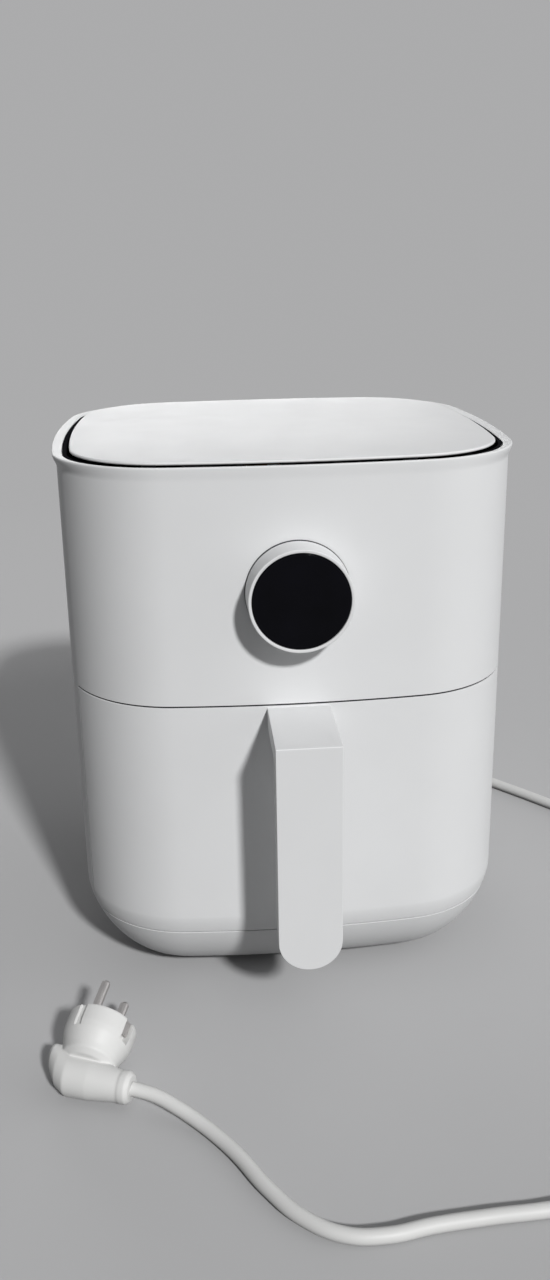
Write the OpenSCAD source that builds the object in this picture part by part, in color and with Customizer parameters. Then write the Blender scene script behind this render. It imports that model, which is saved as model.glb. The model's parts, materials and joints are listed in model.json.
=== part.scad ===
// Countertop air fryer: rounded-square body, pull-out drawer with an L-shaped handle,
// rotary knob with a round display, floating top cover over an air inlet, and mains cord.
// Front is -Y, up is +Z, millimetres. The origin is on the table, under the middle of the
// box that holds the body, the handle and the rear outlet.

/* [Body] */
// Width of the casing at its widest
body_w = 250; // [230:1:280]
// Depth of the casing, without the handle and the rear outlet
body_d = 252; // [232:1:280]
// Height of the top rim above the table
body_h = 302; // [290:1:330]
// Radius of the upright corners in plan
corner_r = 62; // [50:1:70]
// How far the middle of each side stands proud of its corners
wall_bulge = 3; // [2:0.5:5]
// Thickness of the moulded casing wall
wall = 2.6; // [2:0.1:3.2]
// Height of the line between the drawer front and the upper casing
split_z = 176; // [170:1:190]
// Height of the seam above the rounded base
seam_z = 39; // [36:1:44]
// Height at which the walls begin to round in towards the base
round_z = 50; // [47:1:56]
// How far the base has come in at the height of the feet
base_in = 35; // [30:1:38]
// Width of the visible seams
seam_gap = 0.7; // [0.5:0.1:1]
// How far the drawer front wraps back round the corners
front_wrap = 42; // [38:1:46]
// Height of the rubber feet
foot_h = 4; // [3:0.5:6]
// Radius of the rubber feet
foot_r = 10; // [7:0.5:13]

/* [Top] */
// How far the rim flares out beyond the wall
rim_flare = 1.9; // [1:0.1:2.5]
// Width of the rim's flat top
rim_w = 3; // [2.4:0.1:3.6]
// Width of the air inlet gap between the rim and the top cover
inlet_gap = 4.2; // [3:0.2:7]
// Height of the cover's lower edge above the rim
cover_float = 0.4; // [0.2:0.1:2]
// Radius of the cover's rounded edge
cover_round = 3; // [2.5:0.1:4]
// Rise of the domed top cover from its rounded edge to its middle
cover_dome = 1; // [0.6:0.2:4]

/* [Knob] */
// Height of the knob's axis above the table
knob_z = 237.4; // [225:0.2:250]
// Radius of the round display
display_r = 25.1; // [22:0.1:27]
// Wall of the turning ring round the display
ring_wall = 1.5; // [1.2:0.1:2.5]
// How far the display stands out from the casing
knob_reach = 18.5; // [15:0.5:24]
// Travel of the knob when it is pressed
press_travel = 0.8; // [0.4:0.1:1]

/* [Handle] */
// Width of the handle strip
handle_w = 33.4; // [26:0.2:42]
// How far the handle reaches out from the drawer front
handle_reach = 46.8; // [40:0.2:60]
// Thickness of the upright strip
handle_t = 9.5; // [8:0.5:12]
// Thickness of the top plate
handle_top_t = 12; // [10:0.5:15]
// Height of the rounded tip above the table
handle_tip_z = 45.4; // [42:0.2:90]
// Outer radius of the handle's bend
handle_bend_r = 6; // [3:0.5:9]

/* [Drawer] */
// Width of the pot's mouth
pot_w = 196; // [176:1:200]
// Depth of the pot's mouth
pot_d = 182; // [170:1:184]
// Height of the pot's rim above the table
pot_top = 154.5; // [140:0.5:158]
// Sheet thickness of the pot
pot_wall = 1; // [0.8:0.1:1.6]
// How much each side of the pot leans in towards the bottom
pot_taper = 5; // [2:0.5:8]
// Width of the pot's rim flange
pot_flange = 6; // [5:0.5:7]
// Radius of the holes in the crisper plate
hole_r = 3; // [2:0.25:3.5]
// Distance between the holes in the crisper plate
hole_pitch = 14; // [11:0.5:20]

/* [Fans] */
// Radius of the hot-air fan
hot_fan_r = 66; // [50:1:74]
// Number of blades on the hot-air fan
hot_blades = 14; // [8:1:18]
// Radius of the cooling fan
cool_fan_r = 46; // [38:1:50]
// Number of blades on the cooling fan
cool_blades = 20; // [12:1:24]
// Radius of the motor shaft
shaft_r = 4; // [3:0.5:5]

/* [Cord and plug] */
// Diameter of the mains cord
cord_d = 7; // [6:0.5:8]
// Diameter of the plug's contact face
plug_d = 36.5; // [36:0.5:39]
// Diameter of each plug pin
pin_d = 4.8; // [4:0.1:5]
// Length of each plug pin
pin_l = 19; // [18:0.5:20]
// Distance between the plug pins
pin_pitch = 19; // [18.5:0.1:19.5]

/* [Hidden] */
$fn = 64;

shell_white = "#ecebe8";
warm_white = "#f2f1ee";
dark = "#1b1c1f";
charcoal = "#2b2b2e";
steel = "#b9bcc0";

// Running clearance between pieces that move past each other, and seat between fixed ones
run = 0.4;
seat = 0.25;

rear_reach = 5;                          // the rear outlet keeps the body off a wall
body_y = (handle_reach - rear_reach) / 2;  // middle of the casing in the part's frame
half_w = body_w / 2;
half_d = body_d / 2;
base_t = 2.6;
base_flange = 8;                         // the ring's flange under the base plate
round_power = 1.6;                       // 2 would be an ellipse, less is flatter
tongue_h = 3;                            // the base ring's tongue inside the casing
front_edge = -half_d + front_wrap;       // plane where the drawer front meets the casing

// Arcs of the plan outline
corner_x = half_w - corner_r - wall_bulge;
corner_y = half_d - corner_r - wall_bulge;
side_arc = (corner_y * corner_y + pow(corner_r + wall_bulge, 2) - corner_r * corner_r) / (2 * wall_bulge);
front_arc = (corner_x * corner_x + pow(corner_r + wall_bulge, 2) - corner_r * corner_r) / (2 * wall_bulge);
side_turn = atan2(corner_y, corner_x - half_w + side_arc);
front_turn = atan2(corner_x, corner_y - half_d + front_arc);
side_steps = 4;
corner_steps = 12;

// Top
rim_h = 7;
rim_z = body_h - rim_h;
tray_z = body_h - 16;
tray_t = 2;
tray_hole_r = 70;                        // middle opening of the inlet tray
inlet_slot = [92, 108];                  // and where its slots begin and end
rim_lip = 1.2;                           // rounding of the rim's outer edge
rim_step = 2;                            // the inlet tray hangs on a step this far down
skirt_t = 1.3;                           // the rim's skirt inside the casing
cover_inset = rim_w + inlet_gap;
cover_z = body_h + cover_float;
cover_lip = 0.8;
cover_under = cover_z + 2;               // flat underside between the cover's edges

// Drawer and cooking chamber
pot_z = seam_z + 7;
pot_r = 34;
backing_gap = 6.3;                       // the drawer's inner panel stands this far in front of the seam
backing_y = front_edge - backing_gap;
pot_y = backing_y + 0.3 + pot_flange + pot_d / 2;
pot_fillet = 10;
flange_t = 1.2;
rail_z = pot_top - flange_t - 0.3;
cavity_w = pot_w + 2 * pot_flange + 3.6;
cavity_back = pot_y + pot_d / 2 + pot_flange + 4;
cavity_wall = 0.8;
cavity_floor = seam_z + 1;
cavity_top = split_z - 4;
backing_t = 2.2;
plate_z = pot_z + 12;
plate_t = 1.2;

// Hot-air side
dome_r = hot_fan_r + 18;
dome_h = 33;
dome_top = cavity_top + dome_h;
shield_z = dome_top + 4;
deck_z = shield_z + 23;
deck_t = 2.4;
volute_r = cool_fan_r + 8;
motor_z = deck_z + 14;
stack_h = 20;

// Knob, front to back along its axis
wall_front = -half_d;
display_face = wall_front - knob_reach;
lens_t = 1.5;
panel_t = 1.8;
ring_r = display_r + ring_wall;
ring_bore = display_r + 0.3;
sleeve_r = 13;
stem_r = 10.5;
board_y = wall_front + 24.4;
board_t = 1.6;

// Handle
handle_top_z = split_z - 1;
handle_drop = 1.4;
handle_face = wall_front - handle_reach;

// Cord route in the part's frame: out of the relief, down to the table, round to the front
relief_x = 60;
relief_z = 50;
gland_r = 7;
gland_out = 0.7;                         // the gland's end stands this far out of the wall
gland_l = 14;                            // long enough for its flange to clear the base ring's tongue
cord_route = [
    [60, 175, 50], [60, 184, 50], [61, 194, 48], [64, 204, 43], [70, 212.5, 35.5],
    [79, 217.5, 26.5], [91, 218.5, 17.8], [104, 214.5, 10.8], [117, 205.5, 6], [130, 192.5, 3.9],
    [142, 178.5, 3.6], [155, 162.5, 3.6], [171, 143, 3.6], [191, 119, 3.6], [211, 94, 3.6],
    [230, 69, 3.6], [248, 42, 3.6], [263, 12, 3.6], [273, -20, 3.6], [278, -55, 3.6],
    [276, -93, 3.6], [267, -132, 3.6], [251, -169, 3.6], [229, -203, 3.6], [200, -232, 3.6],
    [167, -255, 3.6], [132, -270, 3.6], [97, -278, 3.6], [62, -280, 3.6], [37, -282, 3.6],
    [17, -285, 3.6], [-1, -283, 3.6], [-18, -272, 3.6], [-32, -254, 3.6], [-44.5, -232, 3.6],
    [-53, -220, 3.8], [-62, -210, 4.8], [-72, -201.5, 6.8], [-82, -195, 9], [-94, -190, 10.4]];

// Plug
plug_turn = -20;                         // the pins point this far from +Y
plug_tilt = 20;                          // and this far up: the plug lies on its rim and its block
plug_round_l = 12;
plug_block_r = 10.2;
plug_exit = 27;                          // middle of the face to the end of the collar
plug_back = 32;                          // cord axis behind the contact face
pin_roll = 68;                           // the pins lie on a slanted line across the face
pin_root_r = 2;
pin_root_l = 8;

// Points of an arc; last = 1 adds its end point
function arc(c, r, a0, a1, n, last = 0) =
    [for (i = [0:n - 1 + last]) let (a = a0 + (a1 - a0) * i / n) [c[0] + r * cos(a), c[1] + r * sin(a)]];

// Plan outline of the body, moved inwards by inset: four long side arcs and four corner arcs
function outline(inset) = concat(
    arc([half_w - side_arc, 0], side_arc - inset, -side_turn, side_turn, side_steps),
    arc([corner_x, corner_y], corner_r - inset, side_turn, 90 - front_turn, corner_steps),
    arc([0, half_d - front_arc], front_arc - inset, 90 - front_turn, 90 + front_turn, side_steps),
    arc([-corner_x, corner_y], corner_r - inset, 90 + front_turn, 180 - side_turn, corner_steps),
    arc([side_arc - half_w, 0], side_arc - inset, 180 - side_turn, 180 + side_turn, side_steps),
    arc([-corner_x, -corner_y], corner_r - inset, 180 + side_turn, 270 - front_turn, corner_steps),
    arc([0, front_arc - half_d], front_arc - inset, 270 - front_turn, 270 + front_turn, side_steps),
    arc([corner_x, -corner_y], corner_r - inset, 270 + front_turn, 360 - side_turn, corner_steps));

function rounded(hx, hy, r, n = 8) = concat(
    arc([hx - r, hy - r], r, 0, 90, n, 1), arc([r - hx, hy - r], r, 90, 180, n, 1),
    arc([r - hx, r - hy], r, 180, 270, n, 1), arc([hx - r, r - hy], r, 270, 360, n, 1));

// Inset of the wall at height z, which rounds in below round_z; depth t gives the surface inside it
function low_inset(z, t = 0) = z >= round_z ? t : t + (base_in - t) * (1 - pow(max(0,
    1 - pow((round_z - z) / (round_z - foot_h - t), round_power)), 1 / round_power));

// Rear wall of the casing at x, in the casing's frame
function rear_at(x) = half_d - front_arc + sqrt(front_arc * front_arc - x * x);

function lifted(points, z) = [for (p = points) [p[0], p[1], z]];
function unit(v) = v / norm(v);

// Smooth curve through the points, with steps pieces between each two
function spline(p, steps) = concat(
    [for (i = [0:len(p) - 2]) for (k = [0:steps - 1])
        let (t = k / steps, a = p[max(i - 1, 0)], b = p[i], c = p[i + 1], d = p[min(i + 2, len(p) - 1)])
        0.5 * (2 * b + (c - a) * t + (2 * a - 5 * b + 4 * c - d) * t * t
            + (3 * b - a - 3 * c + d) * t * t * t)],
    [p[len(p) - 1]]);

function ring_at(p, t, r, n) =
    let (s = unit(cross(t, [0, 0, 1])), u = cross(s, t))
    [for (i = [0:n - 1]) p + r * (cos(360 * i / n) * s - sin(360 * i / n) * u)];

// Solid through a list of rings with equal point counts; closed joins the last to the first
module skin(rings, closed = false) {
    n = len(rings[0]);
    m = len(rings);
    sides = [for (j = [0:closed ? m - 1 : m - 2]) for (i = [0:n - 1])
        let (a = j * n + i, b = j * n + (i + 1) % n, c = ((j + 1) % m) * n + (i + 1) % n,
            d = ((j + 1) % m) * n + i)
        each [[a, d, c], [a, c, b]]];
    caps = closed ? [] : [[for (i = [0:n - 1]) i], [for (i = [n - 1:-1:0]) (m - 1) * n + i]];
    polyhedron([for (r = rings) each r], concat(caps, sides), convexity = 8);
}

// Ring round the body from a profile of [inset, height] pairs, up the outside and down the inside
module body_ring(profile) {
    skin([for (p = profile) lifted(outline(p[0]), p[1])], closed = true);
}

// Wall of the body from z0 up to z1, which follows the rounded base below round_z
module wall_ring(z0, z1) {
    low = [for (i = [0:3]) z0 + (round_z - z0) * i / 3];
    body_ring(concat([for (z = low) [low_inset(z), z]], [[0, z1], [wall, z1]],
        [for (i = [3:-1:0]) [low_inset(low[i], wall), low[i]]]));
}

// Round tube of n sides along the points; first and last are the directions of its ends
module tube_along(points, r, n, first = undef, last = undef) {
    m = len(points);
    skin([for (i = [0:m - 1]) ring_at(points[i], i == 0 && !is_undef(first) ? first
        : i == m - 1 && !is_undef(last) ? last
        : unit(points[min(i + 1, m - 1)] - points[max(i - 1, 0)]), r, n)]);
}

module at_body() { translate([0, body_y, 0]) children(); }
module over_pot() { translate([0, pot_y, 0]) children(); }
module at_knob(y) { translate([0, y, knob_z]) rotate([-90, 0, 0]) children(); }
module slab(z0, z1, inset) { translate([0, 0, z0]) linear_extrude(z1 - z0) polygon(outline(inset)); }
module span(x, y, z) { translate([x[0], y[0], z[0]]) cube([x[1] - x[0], y[1] - y[0], z[1] - z[0]]); }
module post(x, y, z0, z1, r) { translate([x, y, z0]) cylinder(h = z1 - z0, r = r); }
module both_sides() { for (s = [0, 1]) mirror([s, 0, 0]) children(); }
module four_corners(x, y) { for (sx = [-1, 1], sy = [-1, 1]) translate([sx * x, sy * y, 0]) children(); }
module ring(r0, r1, h) {
    difference() {
        cylinder(h = h, r = r1);
        translate([0, 0, -1]) cylinder(h = h + 2, r = r0);
    }
}
module screw(r, head_r, head_h, l) {
    cylinder(h = l, r = r);
    difference() {
        translate([0, 0, -head_h]) cylinder(h = head_h, r = head_r);
        for (a = [0, 90]) rotate([0, 0, a]) translate([-head_r * 0.6, -0.4, -head_h - 1])
            cube([head_r * 1.2, 0.8, 1 + head_h * 0.5]);
    }
}

// ---------- casing ----------

// One moulded shell round the body: full height at the back and sides, open at the front for the drawer
deck_post = [half_w - 18, half_d - 56];
board = [92, 76];
board_post = board / 2 - [8, 7];
outlet_w = 130;
outlet_h = 56;
outlet_z = deck_z - 10;
outlet_depth = 9;
module outer_casing() {
    color(shell_white) at_body() {
        difference() {
            wall_ring(seam_z + seam_gap / 2, rim_z);
            span([-body_w, body_w], [-body_d, front_edge + seam_gap / 2], [0, split_z + seam_gap / 2]);
            at_knob(wall_front - 1) cylinder(h = wall + 6, r = sleeve_r + run);
            span([-outlet_w / 2 - seat, outlet_w / 2 + seat], [0, body_d],
                [outlet_z - outlet_h / 2 - seat, outlet_z + outlet_h / 2 + seat]);
            translate([relief_x, 0, relief_z]) rotate([-90, 0, 0]) cylinder(h = body_d, r = gland_r + seat);
        }
        // bosses for the fan deck
        both_sides() for (y = [-deck_post[1], deck_post[1]]) difference() {
            union() {
                post(deck_post[0], y, deck_z - 18, deck_z, 5);
                intersection() {
                    span([deck_post[0], half_w], [y - 1.2, y + 1.2], [deck_z - 18, deck_z - 2]);
                    slab(0, body_h, wall / 2);
                }
            }
            post(deck_post[0], y, deck_z - 14, deck_z + 1, 1.5);
        }
        // bearing collar behind the knob hole, and posts for the control board
        difference() {
            intersection() {
                at_knob(wall_front) cylinder(h = wall + 4, r = sleeve_r + 4);
                slab(0, body_h, wall / 2);
            }
            at_knob(wall_front - 1) cylinder(h = wall + 6, r = sleeve_r + run);
        }
        both_sides() for (s = [-1, 1]) difference() {
            intersection() {
                translate([board_post[0], wall_front, knob_z + s * board_post[1]]) rotate([-90, 0, 0])
                    cylinder(h = board_y - wall_front, r = 4);
                slab(0, body_h, wall / 2);
            }
            translate([board_post[0], board_y - 10, knob_z + s * board_post[1]]) rotate([-90, 0, 0])
                cylinder(h = 11, r = 1.3);
        }
    }
}

// Frame behind the drawer front, round the mouth of the cooking chamber
module front_bezel() {
    color(charcoal) at_body() difference() {
        union() {
            intersection() {
                slab(round_z, split_z + 3.2, wall + seat);
                span([-half_w, half_w], [front_edge + 0.6, front_edge + 3], [0, body_h]);
            }
            intersection() {
                slab(split_z + 1, split_z + 3.2, wall + seat);
                span([-half_w, half_w], [-half_d, front_edge + 3], [0, body_h]);
            }
        }
        span([-cavity_w / 2 + cavity_wall, cavity_w / 2 - cavity_wall], [-half_d, half_d],
            [0, cavity_top - 0.5]);
        over_pot() post(0, 0, cavity_top - 1, body_h, dome_r + 1 + run);
    }
}

// Flared lip round the top, with a skirt inside the casing and a step that the inlet tray hangs on
module top_rim() {
    skirt = wall + seat;
    low = tray_z - 2;
    color(shell_white) at_body() body_ring(concat(
        [for (t = [0:0.2:1]) [-rim_flare * t * t * (3 - 2 * t), rim_z + t * (rim_h - rim_lip)]],
        [for (a = [30:30:90]) [rim_lip * (1 - cos(a)) - rim_flare, body_h - rim_lip * (1 - sin(a))]],
        [[rim_w - 0.5, body_h], [rim_w, body_h - 0.5], [rim_w, body_h - rim_step],
            [skirt + skirt_t, body_h - rim_step], [skirt + skirt_t, low], [skirt, low], [skirt, rim_z]]));
}

// Floating cover: a shallow dome with a rounded edge, hollow below, on six posts
module top_cover() {
    edge_z = cover_z + cover_lip;
    r = cover_round;
    crown = outline(cover_inset + r);
    color(shell_white) at_body() {
        skin(concat(
            [lifted(0.12 * crown, cover_under), lifted(outline(cover_inset + r + 1), cover_under),
                lifted(outline(cover_inset + r + 0.4), cover_z),
                lifted(outline(cover_inset + cover_lip), cover_z), lifted(outline(cover_inset), edge_z)],
            [for (a = [30:30:90]) lifted(outline(cover_inset + r * (1 - cos(a))), edge_z + r * sin(a))],
            [for (s = [0.9, 0.7, 0.45, 0.12]) lifted(s * crown, edge_z + r + cover_dome * (1 - s * s))]));
        for (a = [30:60:330]) rotate([0, 0, a])
            post((tray_hole_r + inlet_slot[0]) / 2 + 4, 0, tray_z + tray_t, cover_under + 1, 4);
    }
}

// Dark slotted tray under the inlet gap: its edge lies on the rim's step
module inlet_tray() {
    outer = wall + seat + skirt_t + seat;
    inner = outer + 1.2;
    step_z = body_h - rim_step;
    color(dark) at_body() difference() {
        union() {
            slab(tray_z, step_z, outer);
            slab(step_z, step_z + 1.1, rim_w + seat);
        }
        slab(tray_z + tray_t, body_h, inner);
        post(0, 0, 0, body_h, tray_hole_r);
        for (a = [0:9:351]) rotate([0, 0, a]) span(inlet_slot, [-2.5, 2.5], [tray_z - 1, tray_z + tray_t + 1]);
    }
}

// ---------- base ----------

// Rounded lower edge of the body, with a tongue inside the casing and a flange for the base plate
module base_ring() {
    top = seam_z - seam_gap / 2;
    floor_z = foot_h + base_t;
    root = top - 4.5;
    edge = [low_inset(top, wall) + seat, low_inset(top + tongue_h, wall) + seat];
    color(shell_white) at_body() body_ring(concat(
        [[base_in + base_flange, foot_h]],
        [for (i = [0:10]) let (z = foot_h + (top - foot_h) * pow(i / 10, 2)) [low_inset(z), z]],
        [[edge[0], top], [edge[1], top + tongue_h], [edge[1] + 1.4, top + tongue_h], [edge[0] + 1.4, top]],
        [for (i = [6:-1:0]) let (z = floor_z + (root - floor_z) * pow(i / 6, 2)) [low_inset(z, base_t), z]],
        [[base_in + base_flange, floor_z]]));
}

// Bottom cover with vent slots, foot seats and the posts that carry the cooking chamber
foot_pos = [58, 60];
chamber_post = [70, 52];
module base_plate() {
    color(charcoal) at_body() difference() {
        union() {
            slab(foot_h, foot_h + base_t, base_in + base_flange + seat);
            slab(foot_h + base_t, foot_h + 2 * base_t, base_in + 3);
            four_corners(chamber_post[0], chamber_post[1]) post(0, 0, foot_h, cavity_floor, 5);
        }
        four_corners(chamber_post[0], chamber_post[1]) {
            post(0, 0, 0, cavity_floor + 1, 2);
            post(0, 0, 0, foot_h + 4, 4);
        }
        four_corners(foot_pos[0], foot_pos[1]) post(0, 0, 0, foot_h + 3 * base_t, 3);
        both_sides() for (i = [-4:4]) span([14, 44], [i * 9 - 1.5, i * 9 + 1.5], [0, 3 * base_t + foot_h]);
    }
}

module rubber_feet() {
    color(dark) at_body() four_corners(foot_pos[0], foot_pos[1]) {
        post(0, 0, 0, foot_h, foot_r);
        post(0, 0, foot_h, foot_h + 2 * base_t, 2.9);
    }
}

module base_screws() {
    color(steel) at_body() four_corners(chamber_post[0], chamber_post[1])
        translate([0, 0, foot_h + 4]) screw(1.9, 3.6, 2, cavity_floor + cavity_wall - foot_h - 4);
}

// ---------- rear ----------

// Louvred outlet for the cooling air
module rear_outlet() {
    y0 = half_d - outlet_depth;
    y1 = half_d + rear_reach;
    w = outlet_w / 2;
    h = outlet_h / 2;
    frame_t = 3;
    louvre = [10, 0.9];                  // half its depth and half its thickness
    color(shell_white) at_body() translate([0, 0, outlet_z]) {
        difference() {
            span([-w, w], [y0, y1], [-h, h]);
            span([frame_t - w, w - frame_t], [y0 - 1, y1 + 1], [frame_t - h, h - frame_t]);
        }
        intersection() {
            span([1 - w, w - 1], [y0, y1 - 0.5], [1 - h, h - 1]);
            union() {
                for (z = [8 - h:8:h - 8]) translate([0, half_d - 2, z]) rotate([-35, 0, 0])
                    span([-w, w], [-louvre[0], louvre[0]], [-louvre[1], louvre[1]]);
                for (x = [-w / 2, w / 2]) span([x - 1, x + 1], [y0, y0 + 5], [-h, h]);
            }
        }
    }
}

// ---------- cooking chamber ----------

module cavity_plan(inset) {
    hw = cavity_w / 2 - inset;
    back = cavity_back - inset;
    polygon(concat([[hw, front_edge + 3.4], [hw, 0]], arc([hw - 30, back - 30], 30, 0, 90, 10, 1),
        arc([30 - hw, back - 30], 30, 90, 180, 10, 1), [[-hw, 0], [-hw, front_edge + 3.4]]));
}

plunger_x = -(pot_w / 2 - pot_r - 4);
plunger_r = 2.5;
plunger_z = pot_top - flange_t / 2;
module chamber_liner() {
    color(steel) at_body() difference() {
        translate([0, 0, cavity_floor]) linear_extrude(cavity_top - cavity_floor) cavity_plan(0);
        translate([0, -1, cavity_floor + cavity_wall]) linear_extrude(cavity_top) cavity_plan(cavity_wall);
        span([-cavity_w / 2 + cavity_wall, cavity_w / 2 - cavity_wall], [-half_d, front_edge + 10],
            [cavity_floor + cavity_wall, cavity_top + 1]);
        translate([plunger_x, 0, plunger_z]) rotate([-90, 0, 0]) cylinder(h = half_d, r = plunger_r + run);
        four_corners(chamber_post[0], chamber_post[1]) post(0, 0, 0, cavity_floor + 2, 1.95);
    }
}

// Rails that carry the pot's rim flange
module drawer_rails() {
    inner = pot_w / 2 + 1.2;
    outer = cavity_w / 2 - cavity_wall;
    color(charcoal) at_body() both_sides() difference() {
        span([inner, outer], [front_edge + 5, cavity_back - 36], [rail_z - 5, rail_z]);
        span([inner - 1, outer - 1.5], [front_edge, cavity_back], [rail_z - 6, rail_z - 1.8]);
    }
}

// Sprung leaf on each side that holds the closed drawer
module drawer_catches() {
    outer = cavity_w / 2 - cavity_wall;
    reach = outer - (pot_w / 2 - 1) - run;
    color(steel) at_body() both_sides() translate([outer, pot_y - pot_d / 2 + pot_r + 2, rail_z - 30])
        linear_extrude(12) polygon(concat([[0, 18], [-0.8, 18]], arc([8 - reach, 0], 8, 140, 220, 8, 1),
            [[-0.8, -18], [0, -18]], arc([8 - reach, 0], 7.2, 215, 145, 8, 1)));
}

// Holes for the shaft, the element's ends and the sensor
module dome_holes() {
    post(0, 0, 0, body_h, shaft_r + 3);
    for (a = coil_ends) post(coil_r1 * cos(a), coil_r1 * sin(a), 0, body_h, terminal_r + seat);
    post(sensor_at[0], sensor_at[1], 0, body_h, sensor_stem_r + seat);
}

// Dome over the chamber with its flange
dome_round = 8;
module reflector() {
    t = cavity_wall;
    r = dome_r - dome_round;
    z = dome_h - dome_round;
    color(steel) at_body() difference() {
        union() {
            difference() {
                translate([0, 0, cavity_top]) linear_extrude(t) cavity_plan(0);
                over_pot() post(0, 0, 0, body_h, dome_r);
            }
            translate([0, pot_y, cavity_top]) rotate_extrude() polygon(concat(
                [[0, dome_h - t], [r - t, dome_h - t]], arc([r, z], dome_round - t, 90, 0, 6, 1),
                [[dome_r - t, 0], [dome_r + 1, 0], [dome_r + 1, t], [dome_r, t], [dome_r, z]],
                arc([r, z], dome_round, 0, 90, 6, 1), [[0, dome_h]]));
        }
        over_pot() dome_holes();
    }
}

// Tubular heating element: an outer turn, a bend back, an inner turn and a way out to the second end
tube_r = 3;
terminal_r = 3.4;
coil_r1 = dome_r - 12;
coil_r0 = coil_r1 - 32;
coil_ends = [104, 88];                   // bearings of the two ends
coil_bend = 430;                         // where the outer turn bends back
coil_z = cavity_top + 9;
bend_r = (coil_r1 - coil_r0) / 2;
function at_coil(r, a) = [r * cos(a), r * sin(a), coil_z];
coil_path = concat(
    [for (i = [0:20]) at_coil(coil_r1, coil_ends[0] + (coil_bend - coil_ends[0]) * i / 20)],
    [for (i = [1:5]) at_coil(coil_r0 + bend_r + bend_r * cos(30 * i), coil_bend)
        + bend_r * sin(30 * i) * [-sin(coil_bend), cos(coil_bend), 0]],
    [for (i = [0:16]) at_coil(coil_r0, coil_bend - 20 * i)],
    [for (i = [1:4]) at_coil(coil_r1 - (coil_r1 - coil_r0) * cos(22.5 * i),
        coil_bend - 320 - (coil_bend - 320 - coil_ends[1]) * sin(22.5 * i))]);
module element_coil() { color("#5a5450") at_body() over_pot() tube_along(coil_path, tube_r, 8); }

module element_terminals() {
    color("#8a8782") at_body() over_pot() for (a = coil_ends)
        post(coil_r1 * cos(a), coil_r1 * sin(a), coil_z + tube_r, deck_z - 6, terminal_r);
}

// Open guard of rings and bars below the element
module element_guard() {
    wire = 1.6;
    outer = dome_r - cavity_wall - seat;
    color(steel) at_body() translate([0, pot_y, cavity_top + 1]) {
        for (r = [18:16:outer - 8]) ring(r, r + wire, wire);
        ring(outer - wire, outer, wire);
        for (a = [0:45:315]) rotate([0, 0, a]) span([18.5, outer - 0.5], [-1, 1], [0, wire]);
    }
}

module heat_shield() {
    color(steel) at_body() over_pot() difference() {
        union() {
            post(0, 0, shield_z, shield_z + 1, dome_r + 12);
            for (a = [45:90:315]) rotate([0, 0, a]) post(dome_r - 14, 0, dome_top, shield_z, 3);
        }
        dome_holes();
    }
}

sensor_r = (hot_fan_r + dome_r) / 2;      // between the fan and the dome's wall
sensor_at = sensor_r * [cos(22), sin(22)];
sensor_stem_r = 2.5;
module temperature_sensor() {
    color(steel) at_body() over_pot() {
        post(sensor_at[0], sensor_at[1], dome_top - 14, shield_z + 9, sensor_stem_r);
        post(sensor_at[0], sensor_at[1], shield_z + 1, shield_z + 5, 4.5);
    }
}

module thermal_cutout() { color(charcoal) at_body() over_pot() post(-50, 20, dome_top, dome_top + 3.6, 8); }

// ---------- fan deck and motor ----------

// Deck that holds the motor, with the scroll that leads the cooling air to the rear outlet
module fan_deck() {
    z0 = shield_z + 1.3;
    duct_y = half_d - outlet_depth - seat;
    motor_hole_r = 34;
    color("#d8d7d3") at_body() difference() {
        union() {
            intersection() {
                slab(deck_z, deck_z + deck_t, wall + seat);
                span([-half_w, half_w], [front_edge + 6, half_d], [0, body_h]);
            }
            over_pot() difference() {
                post(0, 0, z0, deck_z + 1, volute_r + 2);
                post(0, 0, 0, deck_z, volute_r);
                span([-volute_r + 6, volute_r - 6], [10, half_d], [0, deck_z]);
            }
            both_sides() span([volute_r - 6, volute_r - 4], [pot_y + 26, duct_y], [z0, deck_z + 1]);
        }
        over_pot() post(0, 0, 0, body_h, motor_hole_r);
        both_sides() for (y = [-deck_post[1], deck_post[1]]) post(deck_post[0], y, 0, body_h, 2);
        span([-outlet_w / 2 - seat, outlet_w / 2 + seat], [duct_y, half_d], [0, body_h]);
    }
}

module deck_screws() {
    color(steel) at_body() both_sides() for (y = [-deck_post[1], deck_post[1]])
        translate([deck_post[0], y, deck_z + deck_t]) mirror([0, 0, 1]) screw(1.45, 3, 1.8, 12);
}

motor_post = [28, 24];
module motor_frame() {
    color(steel) at_body() over_pot() difference() {
        union() {
            for (sx = [-1, 1], sy = [-1, 1]) {
                post(sx * motor_post[0], sy * motor_post[1], deck_z + deck_t, motor_z, 5);
                post(sx * motor_post[0], sy * motor_post[1], motor_z, motor_z + stack_h + 8, 2.4);
                span([min(0, sx * motor_post[0]), max(0, sx * motor_post[0])],
                    [sy * motor_post[1] - 5, sy * motor_post[1] + 5], [deck_z + 6, deck_z + 8]);
            }
            span([-7, 7], [-motor_post[1], motor_post[1]], [deck_z + 6, deck_z + 8]);
            post(0, 0, deck_z + 6, deck_z + 12, 9);
            for (sy = [-1, 1]) span([-motor_post[0] - 12, -motor_post[0]],
                [sy * motor_post[1] - 5, sy * motor_post[1] + 5], [deck_z + deck_t, deck_z + deck_t + 2]);
            for (sy = [-1, 1]) span([motor_post[0], motor_post[0] + 12],
                [sy * motor_post[1] - 5, sy * motor_post[1] + 5], [deck_z + deck_t, deck_z + deck_t + 2]);
        }
        post(0, 0, 0, body_h, shaft_r + 0.06);
    }
}

module motor_stator() {
    color("#77797c") at_body() over_pot() translate([0, 0, motor_z]) linear_extrude(stack_h) difference() {
        translate([-35, -31]) square([70, 84]);
        circle(r = 15.5);
        for (sx = [-1, 1], sy = [-1, 1]) translate([sx * motor_post[0], sy * motor_post[1]]) circle(r = 2.5);
        translate([-20, 31]) square([40, 10]);
    }
}

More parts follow.
